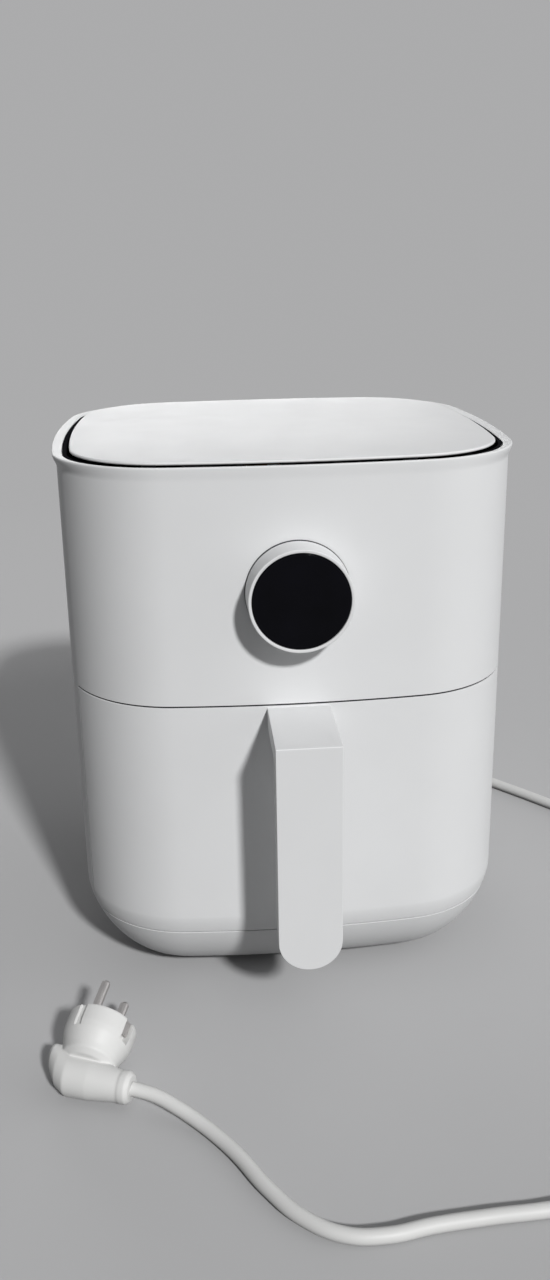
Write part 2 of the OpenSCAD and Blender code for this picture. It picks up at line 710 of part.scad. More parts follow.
module motor_coil() {
    color("#b5652b") at_body() over_pot() difference() {
        span([-15, 15], [33, 62], [motor_z - 8, motor_z + stack_h + 8]);
        span([-16, 16], [40.7, 53.3], [motor_z - 0.3, motor_z + stack_h + 0.3]);
    }
}

module motor_top_bridge() {
    z = motor_z + stack_h;
    arm = norm(motor_post);
    color(steel) at_body() over_pot() difference() {
        union() {
            for (a = [1, -1]) {
                for (s = [-1, 1]) post(s * motor_post[0], s * a * motor_post[1], z, z + 2, 5);
                rotate([0, 0, a * atan2(motor_post[1], motor_post[0])]) span([-arm, arm], [-4, 4], [z, z + 2]);
            }
            post(0, 0, z, z + 8, 9);
        }
        post(0, 0, 0, body_h, shaft_r + 0.06);
        post(0, 0, 0, z + 2.5, shaft_r + 2);
        for (sx = [-1, 1], sy = [-1, 1]) post(sx * motor_post[0], sy * motor_post[1], 0, body_h, 2.5);
    }
}

module motor_shaft() {
    color(steel) at_body() over_pot() post(0, 0, dome_top - 22, motor_z + stack_h + 12, shaft_r);
}

module motor_rotor() {
    color("#8d8f92") at_body() over_pot() difference() {
        post(0, 0, motor_z, motor_z + stack_h, 14.8);
        post(0, 0, 0, body_h, shaft_r + 0.02);
    }
}

module blades(n, r0, r1, z0, z1, lean) {
    for (i = [0:n - 1]) rotate([0, 0, 360 * i / n]) translate([r0, 0, z0]) rotate([0, 0, lean])
        translate([0, -0.5, 0]) cube([r1 - r0, 1, z1 - z0]);
}

// Curved blades 1 mm thick: each is an arc of radius bow that starts at r0 and leans by lean
module curved_blades(n, r0, r1, z0, z1, bow, lean) {
    turn = asin((r1 - r0) / 2 / bow);
    for (i = [0:n - 1]) rotate([0, 0, 360 * i / n]) translate([r0, 0, z0]) rotate([0, 0, lean])
        translate([(r1 - r0) / 2, -bow * cos(turn), 0]) linear_extrude(z1 - z0)
            polygon(concat(arc([0, 0], bow + 0.5, 90 - turn, 90 + turn, 5, 1),
                arc([0, 0], bow - 0.5, 90 + turn, 90 - turn, 5, 1)));
}

module hot_air_fan() {
    color(steel) at_body() over_pot() difference() {
        union() {
            post(0, 0, dome_top - 5, dome_top - 4, hot_fan_r);
            post(0, 0, dome_top - 15, dome_top - 3, 9);
            blades(hot_blades, 24, hot_fan_r - 1, dome_top - 16, dome_top - 4.5, 14);
        }
        post(0, 0, 0, body_h, shaft_r + 0.02);
    }
}

module cooling_fan() {
    z = shield_z + 3;
    color(charcoal) at_body() over_pot() difference() {
        union() {
            post(0, 0, z, z + 1.2, cool_fan_r);
            post(0, 0, z, z + 15, 9);
            curved_blades(cool_blades, 27, cool_fan_r - 1.5, z + 1, z + 14, 14, 20);
        }
        post(0, 0, 0, body_h, shaft_r + 0.02);
    }
}

module fan_nut() {
    color(steel) at_body() over_pot() difference() {
        translate([0, 0, dome_top - 20]) cylinder(h = 5, r = 7.5, $fn = 6);
        post(0, 0, 0, body_h, shaft_r + 0.02);
    }
}

// ---------- electronics ----------

module control_board() {
    color("#2f6b46") at_body() difference() {
        span([-board[0] / 2, board[0] / 2], [board_y, board_y + board_t],
            [knob_z - board[1] / 2, knob_z + board[1] / 2]);
        both_sides() for (s = [-1, 1]) translate([board_post[0], 0, knob_z + s * board_post[1]])
            rotate([90, 0, 0]) cylinder(h = body_d, r = 1.7, center = true);
    }
}

module board_screws() {
    color(steel) at_body() both_sides() for (s = [-1, 1])
        translate([board_post[0], board_y + board_t, knob_z + s * board_post[1]])
            rotate([90, 0, 0]) screw(1.25, 2.8, 1.6, 9);
}

module push_switch() {
    color(dark) at_body() difference() {
        span([-4, 4], [board_y - 3.6, board_y], [knob_z - 4, knob_z + 4]);
        at_knob(board_y - 5) cylinder(h = 4.2, r = 2.2);
    }
}

module encoder_sensor() {
    color(dark) at_body() span([16, 22], [board_y - 10, board_y], [knob_z - 3, knob_z + 3]);
}

module power_board() {
    color("#2f6b46") at_body() {
        span([-104, -56], [-30, 66], [deck_z + deck_t + 5, deck_z + deck_t + 6.6]);
        for (x = [-98, -62], y = [-24, 60]) post(x, y, deck_z + deck_t, deck_z + deck_t + 5, 3);
    }
}

module power_parts() {
    z = deck_z + deck_t + 6.6;
    color(charcoal) at_body() {
        span([-100, -80], [-24, 4], [z, z + 18]);
        span([-100, -72], [14, 34], [z, z + 16]);
        post(-66, 48, z, z + 20, 6);
        post(-90, 50, z, z + 14, 7);
    }
}

// Switch behind the chamber that cuts the power when the drawer leaves
module drawer_switch() {
    y0 = cavity_back + 0.3;
    color(dark) at_body() difference() {
        span([plunger_x - 12, plunger_x + 8], [y0, y0 + 8], [plunger_z - 6, plunger_z + 6]);
        translate([plunger_x, y0 - 1, plunger_z]) rotate([-90, 0, 0]) cylinder(h = 7.5, r = plunger_r + run);
    }
}

module switch_plunger() {
    tip = pot_y + pot_d / 2 + pot_flange + 0.3;
    color("#c8442e") at_body() translate([plunger_x, tip, plunger_z]) rotate([-90, 0, 0])
        cylinder(h = cavity_back + 5 - tip, r = plunger_r);
}

// ---------- cord and plug ----------

module cord_gland() {
    y1 = rear_at(relief_x) + gland_out;
    color(warm_white) at_body() translate([relief_x, 0, relief_z]) rotate([-90, 0, 0]) difference() {
        union() {
            translate([0, 0, y1 - gland_l]) cylinder(h = gland_l, r = gland_r);
            translate([0, 0, y1 - gland_l + 1.3]) cylinder(h = 4, r = gland_r + 2);
        }
        translate([0, 0, y1 - gland_l - 1]) cylinder(h = gland_l + 2, r = cord_d / 2 + 0.1);
    }
}

// Tapered sleeve with grip grooves where the cord leaves the body
module strain_relief() {
    y0 = body_y + rear_at(relief_x) + gland_out;
    l = cord_route[0][1] - y0;
    pitch = (l - 6) / 6;
    color(warm_white) translate([relief_x, y0, relief_z]) rotate([-90, 0, 0]) rotate_extrude()
        polygon(concat([[0, -8], [cord_d / 2, -8], [cord_d / 2, 0], [gland_r + 1.5, 0], [gland_r + 1.5, 4.5]],
            [for (i = [0:5]) let (z = 5 + i * pitch, r = 6.4 - i * 0.35)
                each [[r, z], [r, z + 0.6 * pitch], [r - 0.8, z + 0.7 * pitch], [r - 0.8, z + 0.9 * pitch]]],
            [[cord_d / 2 + 0.2, l], [0, l]]));
}

module mains_cord() {
    color(warm_white) tube_along(spline(cord_route, 2), cord_d / 2, 10, [0, 1, 0],
        [-cos(plug_turn), -sin(plug_turn), 0]);
}

// Plug frame: +X along the cord's exit, +Y along the pins, origin at the middle of the contact face
module at_plug() {
    translate(cord_route[len(cord_route) - 1]) rotate([0, 0, plug_turn]) rotate([plug_tilt, 0, 0])
        translate([-plug_exit, plug_back, 0]) children();
}

// Round contact part, which blends into a block across its back, and the sleeve for the cord
module plug_body() {
    block_w = plug_d - 8;
    color(warm_white) at_plug() difference() {
        union() {
            rotate([90, 0, 0]) cylinder(h = plug_round_l, r = plug_d / 2);
            hull() {
                translate([0, -plug_round_l + 1, 0]) rotate([90, 0, 0])
                    cylinder(h = 2, r = plug_d / 2 - 0.8, $fn = 48);
                translate([-block_w / 2, -plug_back, 0]) rotate([0, 90, 0])
                    cylinder(h = block_w, r = plug_block_r, $fn = 32);
            }
            translate([0, -plug_back, 0]) rotate([0, 90, 0]) cylinder(h = plug_exit - 4, r = 7.8);
            translate([plug_exit - 6, -plug_back, 0]) rotate([0, 90, 0]) cylinder(h = 6, r = 8.4);
        }
        // pin sockets and the grooves for the earth clips
        rotate([0, pin_roll, 0]) {
            for (s = [-1, 1]) translate([s * pin_pitch / 2, 1, 0]) rotate([90, 0, 0])
                cylinder(h = pin_root_l + 2, r = pin_root_r + 0.05);
            for (s = [-1, 1]) span([-3.2, 3.2], [-plug_round_l + 4, 1],
                s > 0 ? [plug_d / 2 - 3, plug_d] : [-plug_d, 3 - plug_d / 2]);
        }
    }
}

// Round pins on the contact face, each with a thinner root inside the plug
module plug_pins() {
    color("#c9ccd0") at_plug() rotate([0, pin_roll, 0]) for (s = [-1, 1])
        translate([s * pin_pitch / 2, 0, 0]) rotate([-90, 0, 0]) {
            translate([0, 0, -pin_root_l]) cylinder(h = pin_root_l + 1, r = pin_root_r);
            cylinder(h = pin_l - 1, r = pin_d / 2);
            translate([0, 0, pin_l - 1]) cylinder(h = 1, r1 = pin_d / 2, r2 = pin_d / 2 - 0.8);
        }
}

module plug_earth_clips() {
    color("#c9ccd0") at_plug() rotate([0, pin_roll, 0]) for (s = [0, 1]) mirror([0, 0, s])
        span([-2.5, 2.5], [-plug_round_l + 4.2, 0], [plug_d / 2 - 2.9, plug_d / 2 - 2.1]);
}

// ---------- drawer ----------

handle_screw_x = 9;
handle_screw_z = handle_top_z - handle_top_t / 2 - 1.5;
boss_h = 1.4;
module at_handle_screws(y) {
    both_sides() translate([handle_screw_x, y, handle_screw_z]) rotate([90, 0, 0]) children();
}
module drawer_front() {
    bottom = seam_z + seam_gap / 2;
    top = split_z - seam_gap / 2;
    color(shell_white) at_body() difference() {
        union() {
            difference() {
                wall_ring(bottom, top);
                span([-body_w, body_w], [front_edge - seam_gap / 2, body_d], [0, body_h]);
            }
            at_handle_screws(wall_front + wall + boss_h) cylinder(h = wall / 2 + boss_h, r = 4);
        }
        at_handle_screws(0) cylinder(h = body_d, r = 2.1);
    }
}

// Inner panel that closes the drawer front and carries the pot
module drawer_backing() {
    z0 = seam_z + 4.5;
    z1 = split_z - 2;
    edge = low_inset(z0, wall) + seat;
    color(charcoal) at_body() difference() {
        union() {
            intersection() {
                slab(z0, z1, edge);
                span([-half_w, half_w], [-half_d, backing_y], [0, body_h]);
            }
            span([-pot_w / 2 + 40, pot_w / 2 - 40], [backing_y - 1, backing_y + pot_flange - 1],
                [pot_top - flange_t - 5, pot_top - flange_t]);
        }
        intersection() {
            slab(z0 + backing_t, z1 - backing_t, edge + 1);
            span([-half_w, half_w], [-half_d, backing_y - backing_t], [0, body_h]);
        }
        intersection() {
            slab(0, body_h, -5);
            span([-half_w, half_w], [-half_d - 5, -half_d + 8], [z0 + backing_t, z1 - backing_t]);
        }
    }
}

// Flat strip: out from the drawer front, round a bend, down to a round tip
handle_back = handle_face + handle_t;
handle_root = wall_front + 10;           // inside the curved wall, which trims it
function handle_side() = let (r = handle_bend_r, under = handle_top_z - handle_top_t) concat(
    [[handle_root, handle_top_z]],
    arc([handle_face + r, handle_top_z - handle_drop - r], r, 90, 180, 8, 1),
    [[handle_face, handle_tip_z], [handle_back, handle_tip_z]],
    arc([handle_back + 5, under - 5], 5, 180, 90, 6, 1),
    [[handle_root, under]]);

module strip_front(inset) {
    w = handle_w / 2 - inset;
    translate([0, handle_tip_z + handle_w / 2]) circle(r = w);
    translate([-w, handle_tip_z + handle_w / 2]) square([2 * w, body_h]);
}

// Plate on the back of the upright strip, let into a recess
inner_t = 1.5;
inner_top = handle_top_z - handle_top_t - 7;
module inner_plate(clear) {
    intersection() {
        span([-handle_w, handle_w], [handle_back - inner_t, handle_back + 1], [0, inner_top - clear]);
        translate([0, handle_back + 1, 0]) rotate([90, 0, 0]) linear_extrude(handle_t) strip_front(3 + clear);
    }
}

module handle() {
    color(shell_white) at_body() difference() {
        intersection() {
            translate([-handle_w / 2, 0, 0]) rotate([90, 0, 90]) linear_extrude(handle_w)
                polygon(handle_side());
            rotate([90, 0, 0]) linear_extrude(2 * body_d) strip_front(0);
        }
        slab(0, body_h, 0);
        // shallow thumb rest on the top plate
        span([-12.5, 12.5], [handle_face + 9, handle_face + 26], [handle_top_z - 1.8, body_h]);
        inner_plate(0);
        at_handle_screws(0) cylinder(h = half_d + 16, r = 1.55);
    }
}

module handle_inner() {
    color(shell_white) at_body() difference() {
        inner_plate(seat);
        span([-handle_w, handle_w], [handle_back, 0], [0, body_h]);
    }
}

module handle_screws() {
    color(steel) at_body() at_handle_screws(wall_front + wall + boss_h)
        screw(1.5, 3.4, 2, wall + boss_h + 12);
}

function pot_ring(inset, z) = lifted(rounded(pot_w / 2 - inset, pot_d / 2 - inset, pot_r - inset), z);

module pot() {
    f = pot_fillet;
    w = pot_wall;
    k = pot_taper;
    color(charcoal) at_body() over_pot() skin(concat(
        [for (a = [0:22.5:90]) pot_ring(k + f - f * sin(a), pot_z + f - f * cos(a))],
        [pot_ring(0, pot_top - flange_t), pot_ring(-pot_flange, pot_top - flange_t),
            pot_ring(-pot_flange, pot_top), pot_ring(w, pot_top)],
        [for (a = [90:-22.5:0]) pot_ring(k + f - (f - w) * sin(a), pot_z + f - (f - w) * cos(a))]));
}

// Perforated plate that holds the food off the pot's floor
plate_inset = pot_taper + 4;
leg_pos = [pot_w / 2 - 34, pot_d / 2 - 34];
module crisper_plate() {
    hx = pot_w / 2 - plate_inset;
    hy = pot_d / 2 - plate_inset;
    nx = floor((hx - 10) / hole_pitch);
    ny = floor((hy - 10) / hole_pitch);
    color(charcoal) at_body() over_pot() {
        translate([0, 0, plate_z]) linear_extrude(plate_t) difference() {
            polygon(rounded(hx, hy, pot_r - plate_inset));
            for (i = [-nx:nx], j = [-ny:ny])
                if ((i + j) % 2 == 0 && !(abs(i) > nx - 2 && abs(j) > ny - 2))
                    translate([i * hole_pitch, j * hole_pitch]) circle(r = hole_r, $fn = 24);
        }
        difference() {
            translate([0, 0, plate_z]) linear_extrude(5) polygon(rounded(hx, hy, pot_r - plate_inset));
            translate([0, 0, plate_z - 1]) linear_extrude(7)
                polygon(rounded(hx - plate_t, hy - plate_t, pot_r - plate_inset - plate_t));
        }
    }
}

module plate_bumpers() {
    color("#4b4b4f") at_body() over_pot() four_corners(leg_pos[0], leg_pos[1])
        post(0, 0, pot_z + pot_wall + 0.3, plate_z, 5);
}

// ---------- knob ----------

module display_lens() {
    color("#0b0b10") at_body() at_knob(display_face) cylinder(h = lens_t, r = display_r);
}

// Cup behind the lens, its hollow stem and the pin that presses the switch
cup_l = 11.5;
cup_floor = 2;
module display_housing() {
    y = display_face + lens_t;
    stem_y = y + cup_l - 2.5;
    stem_end = board_y - 6;
    tip = board_y - 2.8 - press_travel;
    color(dark) at_body() {
        difference() {
            at_knob(y) cylinder(h = cup_l, r = display_r - 0.1);
            at_knob(y - 1) cylinder(h = cup_l + 1 - cup_floor, r = display_r - 1.7);
        }
        difference() {
            at_knob(stem_y) cylinder(h = stem_end - stem_y, r = stem_r);
            at_knob(stem_y - 1) cylinder(h = stem_end - 2 - stem_y + 1, r = stem_r - 2);
        }
        at_knob(stem_end - 2) cylinder(h = tip - stem_end + 2, r = 1.7);
        // two ribs that carry the display panel
        for (s = [-1, 1]) span([s * 10 - 2, s * 10 + 2], [y + panel_t, y + cup_l - cup_floor + 0.5],
            [knob_z - 4, knob_z + 4]);
    }
}

module display_panel() {
    y = display_face + lens_t;
    color("#15151c") at_body() span([-15, 15], [y, y + panel_t], [knob_z - 8, knob_z + 8]);
}

// Turning ring: thin wall round the display, web, and a sleeve through the casing
module knob_ring() {
    d = -display_face;
    back = d + wall_front - 1.2;
    color(shell_white) at_body() at_knob(display_face) rotate_extrude() polygon([
        [ring_bore, 0.5], [ring_bore + 0.3, 0.1], [ring_r - 0.6, 0.1], [ring_r, 0.7], [ring_r + 0.3, back],
        [sleeve_r, back], [sleeve_r, back + 13.5], [stem_r + 0.5, back + 13.5], [stem_r + 0.5, back - 2.4],
        [ring_bore, back - 2.4]]);
}

module encoder_wheel() {
    y = wall_front + 9.4;
    color("#d8d7d3") at_body() difference() {
        at_knob(y) cylinder(h = 2.4, r = 21);
        at_knob(y - 1) cylinder(h = 5, r = sleeve_r + 0.05);
        for (a = [0:15:345]) translate([0, y - 1, knob_z]) rotate([0, a, 0]) span([16, 19], [0, 5], [-1, 1]);
    }
}

outer_casing();
front_bezel();
top_rim();
top_cover();
inlet_tray();
base_ring();
base_plate();
rubber_feet();
base_screws();
rear_outlet();
chamber_liner();
drawer_rails();
drawer_catches();
reflector();
element_coil();
element_terminals();
element_guard();
heat_shield();
fan_deck();
deck_screws();
motor_frame();
motor_stator();
motor_coil();
motor_top_bridge();
thermal_cutout();
temperature_sensor();
control_board();
board_screws();
push_switch();
encoder_sensor();
power_board();
power_parts();
drawer_switch();
cord_gland();
strain_relief();
mains_cord();
plug_body();
plug_pins();
plug_earth_clips();
drawer_front();
drawer_backing();
handle();
handle_inner();
handle_screws();
pot();
crisper_plate();
plate_bumpers();
display_lens();
display_housing();
display_panel();
knob_ring();
encoder_wheel();
motor_shaft();
motor_rotor();
hot_air_fan();
cooling_fan();
fan_nut();
switch_plunger();
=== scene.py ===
import json
import math

import bmesh
import bpy
from mathutils import Matrix, Vector


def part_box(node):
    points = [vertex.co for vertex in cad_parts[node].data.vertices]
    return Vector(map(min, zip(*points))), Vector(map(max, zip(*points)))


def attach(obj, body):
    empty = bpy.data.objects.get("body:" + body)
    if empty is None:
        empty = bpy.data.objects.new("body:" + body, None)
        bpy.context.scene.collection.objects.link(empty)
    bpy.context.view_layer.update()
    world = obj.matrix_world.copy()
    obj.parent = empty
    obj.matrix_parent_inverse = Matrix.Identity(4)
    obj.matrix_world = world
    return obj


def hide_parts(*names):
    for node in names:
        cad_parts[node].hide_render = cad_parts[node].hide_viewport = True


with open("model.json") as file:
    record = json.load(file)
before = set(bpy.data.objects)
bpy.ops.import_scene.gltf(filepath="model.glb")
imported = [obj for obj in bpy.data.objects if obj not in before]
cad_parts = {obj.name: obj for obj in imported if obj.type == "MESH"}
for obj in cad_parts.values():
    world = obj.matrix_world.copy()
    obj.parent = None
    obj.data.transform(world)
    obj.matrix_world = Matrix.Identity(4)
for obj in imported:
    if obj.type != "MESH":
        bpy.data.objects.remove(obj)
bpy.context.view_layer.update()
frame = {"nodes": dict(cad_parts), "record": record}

MM = 0.001
WHOLE = 2 * math.pi
QUARTER = math.pi / 2


# ---------------------------------------------------------------- sizes, from the frame

def span(node, axis):
    low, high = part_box(node)
    return low[axis], high[axis]


half_w = span("outer_casing", 0)[1]
body_y = sum(span("outer_casing", 1)) / 2
half_d = (span("outer_casing", 1)[1] - span("outer_casing", 1)[0]) / 2
rim_z = span("outer_casing", 2)[1]
shell_bottom = span("outer_casing", 2)[0]
rim_bottom, body_h = span("top_rim", 2)
front_bottom, front_top = span("drawer_front", 2)
front_edge = span("drawer_front", 1)[1] - body_y
foot_h, base_tongue = span("base_ring", 2)
cover_low, cover_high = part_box("top_cover")
knob_z = sum(span("display_lens", 2)) / 2
display_r = (span("display_lens", 0)[1] - span("display_lens", 0)[0]) / 2
display_face, lens_back = span("display_lens", 1)
ring_end = span("knob_ring", 1)[1]
ring_r = span("knob_ring", 0)[1]
wall_front = body_y - half_d

# Sizes of the CAD model that no node's box shows.
wall = 2.6 * MM
corner_r = 62 * MM
wall_bulge = 3 * MM         # how far the middle of each side stands proud of its ends
round_z = 50 * MM           # where the wall starts to come in towards the base
base_in = 35 * MM           # how far it has come in at the bottom
round_power = 1.6
seat = 0.25 * MM            # clearance between pieces that fit into each other
seam_gap = 0.7 * MM         # between the drawer front's side edge and the casing
seam_seen = 1.05 * MM       # height of the seam over the drawer, with its rounded edges
casing_cut = front_edge + seam_gap


def low_inset(z, depth=0.0):
    """How far the wall has come in at height z, for a surface that lies depth metres inside it."""
    if z >= round_z:
        return depth
    share = (round_z - z) / (round_z - foot_h - depth)
    return depth + (base_in - depth) * (1 - max(0.0, 1 - share ** round_power) ** (1 / round_power))


# ---------------------------------------------------------------- camera

CAMERA_PLACE = Vector((-0.0590, -0.6627, 0.4041))
CAMERA_YAW = 0.0840
CAMERA_PITCH = 0.3304
CAMERA_ROLL = -0.0172
CAMERA_LENS = 32.44


def make_camera():
    """A portrait view from the left of the middle, looking a little down."""
    forward = Vector((math.sin(CAMERA_YAW) * math.cos(CAMERA_PITCH),
                      math.cos(CAMERA_YAW) * math.cos(CAMERA_PITCH), -math.sin(CAMERA_PITCH)))
    level = Vector((math.cos(CAMERA_YAW), -math.sin(CAMERA_YAW), 0))
    above = level.cross(forward)
    right = math.cos(CAMERA_ROLL) * level + math.sin(CAMERA_ROLL) * above
    up = math.cos(CAMERA_ROLL) * above - math.sin(CAMERA_ROLL) * level
    data = bpy.data.cameras.new("camera")
    data.lens = CAMERA_LENS
    data.clip_start = 0.01
    camera = bpy.data.objects.new("camera", data)
    turn = Matrix((right, up, -forward)).transposed().to_4x4()
    camera.matrix_world = Matrix.Translation(CAMERA_PLACE) @ turn
    bpy.context.scene.collection.objects.link(camera)
    bpy.context.scene.camera = camera


# ---------------------------------------------------------------- node trees

# The new materials by slot: Blender numbers their names, since the CAD nodes bring the same ones.
MATERIALS = {}


class Tree:
    """A new material in MATERIALS, with short calls for the nodes that the finishes use."""

    def __init__(self, name):
        self.material = MATERIALS[name] = bpy.data.materials.new(name)
        self.material.use_nodes = True
        self.nodes = self.material.node_tree.nodes
        self.links = self.material.node_tree.links
        self.shader = self.nodes["Principled BSDF"]
        self.place = self.nodes.new("ShaderNodeTexCoord").outputs["Object"]

    def set(self, **values):
        for name, value in values.items():
            self.shader.inputs[name.replace("_", " ")].default_value = value

    def noise(self, size, detail=2.0, stretch=None):
        """Noise whose blotches are about size metres across; stretch scales its axes."""
        node = self.nodes.new("ShaderNodeTexNoise")
        node.inputs["Scale"].default_value = 1 / size
        node.inputs["Detail"].default_value = detail
        place = self.place
        if stretch:
            mapping = self.nodes.new("ShaderNodeMapping")
            mapping.inputs["Scale"].default_value = stretch
            self.links.new(place, mapping.inputs["Vector"])
            place = mapping.outputs["Vector"]
        self.links.new(place, node.inputs["Vector"])
        return node.outputs["Fac"]

    def cells(self, size):
        node = self.nodes.new("ShaderNodeTexVoronoi")
        node.inputs["Scale"].default_value = 1 / size
        self.links.new(self.place, node.inputs["Vector"])
        return node.outputs["Distance"]

    def lines(self, size, axis="Z"):
        """Fine even lines across an axis, size metres apart."""
        node = self.nodes.new("ShaderNodeTexWave")
        node.bands_direction = axis
        node.inputs["Scale"].default_value = WHOLE / (20 * size)    # at scale 1 a wave is 2 pi / 20 long
        self.links.new(self.place, node.inputs["Vector"])
        return node.outputs["Fac"]

    def between(self, fac, low, high, start=0.3, end=0.7):
        """Spreads fac from low to high; tuples give colours."""
        if isinstance(low, tuple):
            ramp = self.nodes.new("ShaderNodeValToRGB")
            ramp.color_ramp.elements[0].position = start
            ramp.color_ramp.elements[0].color = (*low, 1)
            ramp.color_ramp.elements[1].position = end
            ramp.color_ramp.elements[1].color = (*high, 1)
            self.links.new(fac, ramp.inputs["Fac"])
            return ramp.outputs["Color"]
        node = self.nodes.new("ShaderNodeMapRange")
        for name, value in (("From Min", start), ("From Max", end), ("To Min", low), ("To Max", high)):
            node.inputs[name].default_value = value
        self.links.new(fac, node.inputs["Value"])
        return node.outputs["Result"]

    def into(self, socket, output):
        self.links.new(output, self.shader.inputs[socket])

    def roughness(self, low, high, size, detail=3.0, stretch=None):
        """Roughness that wanders from low to high in patches about size metres across."""
        self.into("Roughness", self.between(self.noise(size, detail, stretch), low, high))

    def bump(self, height, depth):
        node = self.nodes.new("ShaderNodeBump")
        node.inputs["Distance"].default_value = depth
        self.links.new(height, node.inputs["Height"])
        self.links.new(node.outputs["Normal"], self.shader.inputs["Normal"])


def plastic(name, colour, rough, tone=0.02, grain=0.35 * MM, depth=0.012 * MM, gloss=0.35):
    """Moulded plastic: faint drifts of tone, uneven gloss and a fine spark-eroded grain."""
    tree = Tree(name)
    tree.set(Specular_IOR_Level=gloss)
    low = tuple(c * (1 - tone) for c in colour)
    high = tuple(min(1.0, c * (1 + tone)) for c in colour)
    tree.into("Base Color", tree.between(tree.noise(45 * MM, 3), low, high))
    tree.roughness(rough - 0.04, rough + 0.04, 12 * MM, 4)
    tree.bump(tree.noise(grain, 3), depth)


def metal(name, colour, rough, stretch=(1, 1, 1), grain=0.6 * MM, depth=0.004 * MM, tone=0.06):
    """Metal with a drawn or plain grain along the axis that stretch leaves long."""
    tree = Tree(name)
    tree.set(Metallic=1.0)
    drawn = tree.noise(grain, 4, stretch)
    tree.into("Base Color", tree.between(drawn, tuple(c * (1 - tone) for c in colour), colour))
    tree.roughness(rough - 0.05, rough + 0.06, 6 * MM)
    tree.bump(drawn, depth)


def coating(name, colour, fleck, rough):
    """Non-stick coating: dark, satin, with fine pale flecks and an orange-peel skin."""
    tree = Tree(name)
    fleck_edge, fleck_end = 0.05, 0.14
    tree.into("Base Color", tree.between(tree.cells(1.6 * MM), fleck, colour, fleck_edge, fleck_end))
    tree.roughness(rough - 0.05, rough + 0.05, 5 * MM)
    tree.bump(tree.noise(1.4 * MM, 3), 0.03 * MM)


def striped(name, colour, shade, size, metallic, rough, axis="Z"):
    """Stacked sheets or wound wire: fine even lines."""
    tree = Tree(name)
    tree.set(Metallic=metallic)
    bands = tree.lines(size, axis)
    tree.into("Base Color", tree.between(bands, shade, colour, 0.1, 0.6))
    tree.roughness(rough - 0.05, rough + 0.05, 4 * MM)
    tree.bump(bands, 0.15 * MM)


def display_glass(name):
    """Black gloss lens with the faintest smears."""
    tree = Tree(name)
    tree.set(Specular_IOR_Level=0.08)
    smears = tree.noise(20 * MM, 2)
    tree.into("Base Color", tree.between(smears, (0.002, 0.002, 0.003), (0.003, 0.003, 0.005)))
    tree.roughness(0.05, 0.12, 9 * MM, 4, (1, 1, 3))


def board(name):
    """Solder mask with copper tracks showing through."""
    tree = Tree(name)
    tracks = tree.nodes.new("ShaderNodeTexBrick")
    tracks.inputs["Scale"].default_value = 120
    for socket, colour in (("Color1", (0.035, 0.16, 0.075)), ("Color2", (0.045, 0.19, 0.09)),
                           ("Mortar", (0.10, 0.30, 0.15))):
        tracks.inputs[socket].default_value = (*colour, 1)
    tree.links.new(tree.place, tracks.inputs["Vector"])
    tree.into("Base Color", tracks.outputs["Color"])
    tree.roughness(0.3, 0.42, 5 * MM, 2)
    tree.bump(tracks.outputs["Fac"], 0.03 * MM)


def make_materials():
    """One finish for each of the record's material slots."""
    plastic("white_plastic", (0.74, 0.745, 0.75), 0.5, tone=0.012)
    plastic("cord_white", (0.68, 0.68, 0.67), 0.5, tone=0.03, grain=0.5 * MM)
    display_glass("black_glass")
    plastic("black_plastic", (0.012, 0.012, 0.014), 0.55, tone=0.1, gloss=0)
    plastic("grey_plastic", (0.06, 0.06, 0.065), 0.55, tone=0.06, gloss=0.25)
    plastic("light_plastic", (0.62, 0.62, 0.60), 0.5, tone=0.04)
    coating("nonstick", (0.035, 0.035, 0.038), (0.16, 0.16, 0.17), 0.42)
    metal("sheet_steel", (0.62, 0.63, 0.65), 0.33, (1, 0.04, 1))
    metal("element_steel", (0.24, 0.21, 0.19), 0.45, tone=0.3, grain=4 * MM)
    striped("laminated_steel", (0.36, 0.36, 0.37), (0.12, 0.11, 0.11), 0.5 * MM, 0.8, 0.45)
    metal("nickel", (0.60, 0.58, 0.57), 0.34, (1, 1, 0.2))
    striped("copper_winding", (0.55, 0.25, 0.11), (0.25, 0.10, 0.05), 0.6 * MM, 0.7, 0.35, "Y")
    board("board_green")
    plastic("rubber", (0.03, 0.03, 0.031), 0.75, tone=0.12, grain=0.8 * MM, depth=0.03 * MM)
    plastic("switch_red", (0.5, 0.09, 0.05), 0.45)


# ---------------------------------------------------------------- mesh helpers

def new_object(name, vertices, faces):
    mesh = bpy.data.meshes.new(name)
    mesh.from_pydata([tuple(v) for v in vertices], [], faces)
    mesh.validate()
    made = bmesh.new()
    made.from_mesh(mesh)
    bmesh.ops.recalc_face_normals(made, faces=made.faces)
    made.to_mesh(mesh)
    made.free()
    item = bpy.data.objects.new(name, mesh)
    bpy.context.scene.collection.objects.link(item)
    return item


def settle(item):
    """Applies the modifiers, so that the mesh is what the render shows."""
    graph = bpy.context.evaluated_depsgraph_get()
    graph.update()
    mesh = bpy.data.meshes.new_from_object(item.evaluated_get(graph), preserve_all_data_layers=True,
                                           depsgraph=graph)
    item.modifiers.clear()
    item.data = mesh
    return item


def smooth(item, sharp=50):
    """Smooth shading with weighted normals; edges sharper than this many degrees stay crisp."""
    item.data.shade_smooth()
    item.data.set_sharp_from_angle(angle=math.radians(sharp))
    weighted = item.modifiers.new("weighted", "WEIGHTED_NORMAL")
    weighted.keep_sharp = True
    return settle(item)


def soften(item, width, segments=3, angle=40):
    """Rounds every edge sharper than angle."""
    bevel = item.modifiers.new("bevel", "BEVEL")
    bevel.width = width
    bevel.segments = segments
    bevel.limit_method = "ANGLE"
    bevel.angle_limit = math.radians(angle)
    bevel.use_clamp_overlap = True
    bevel.miter_outer = "MITER_ARC"
    return settle(item)


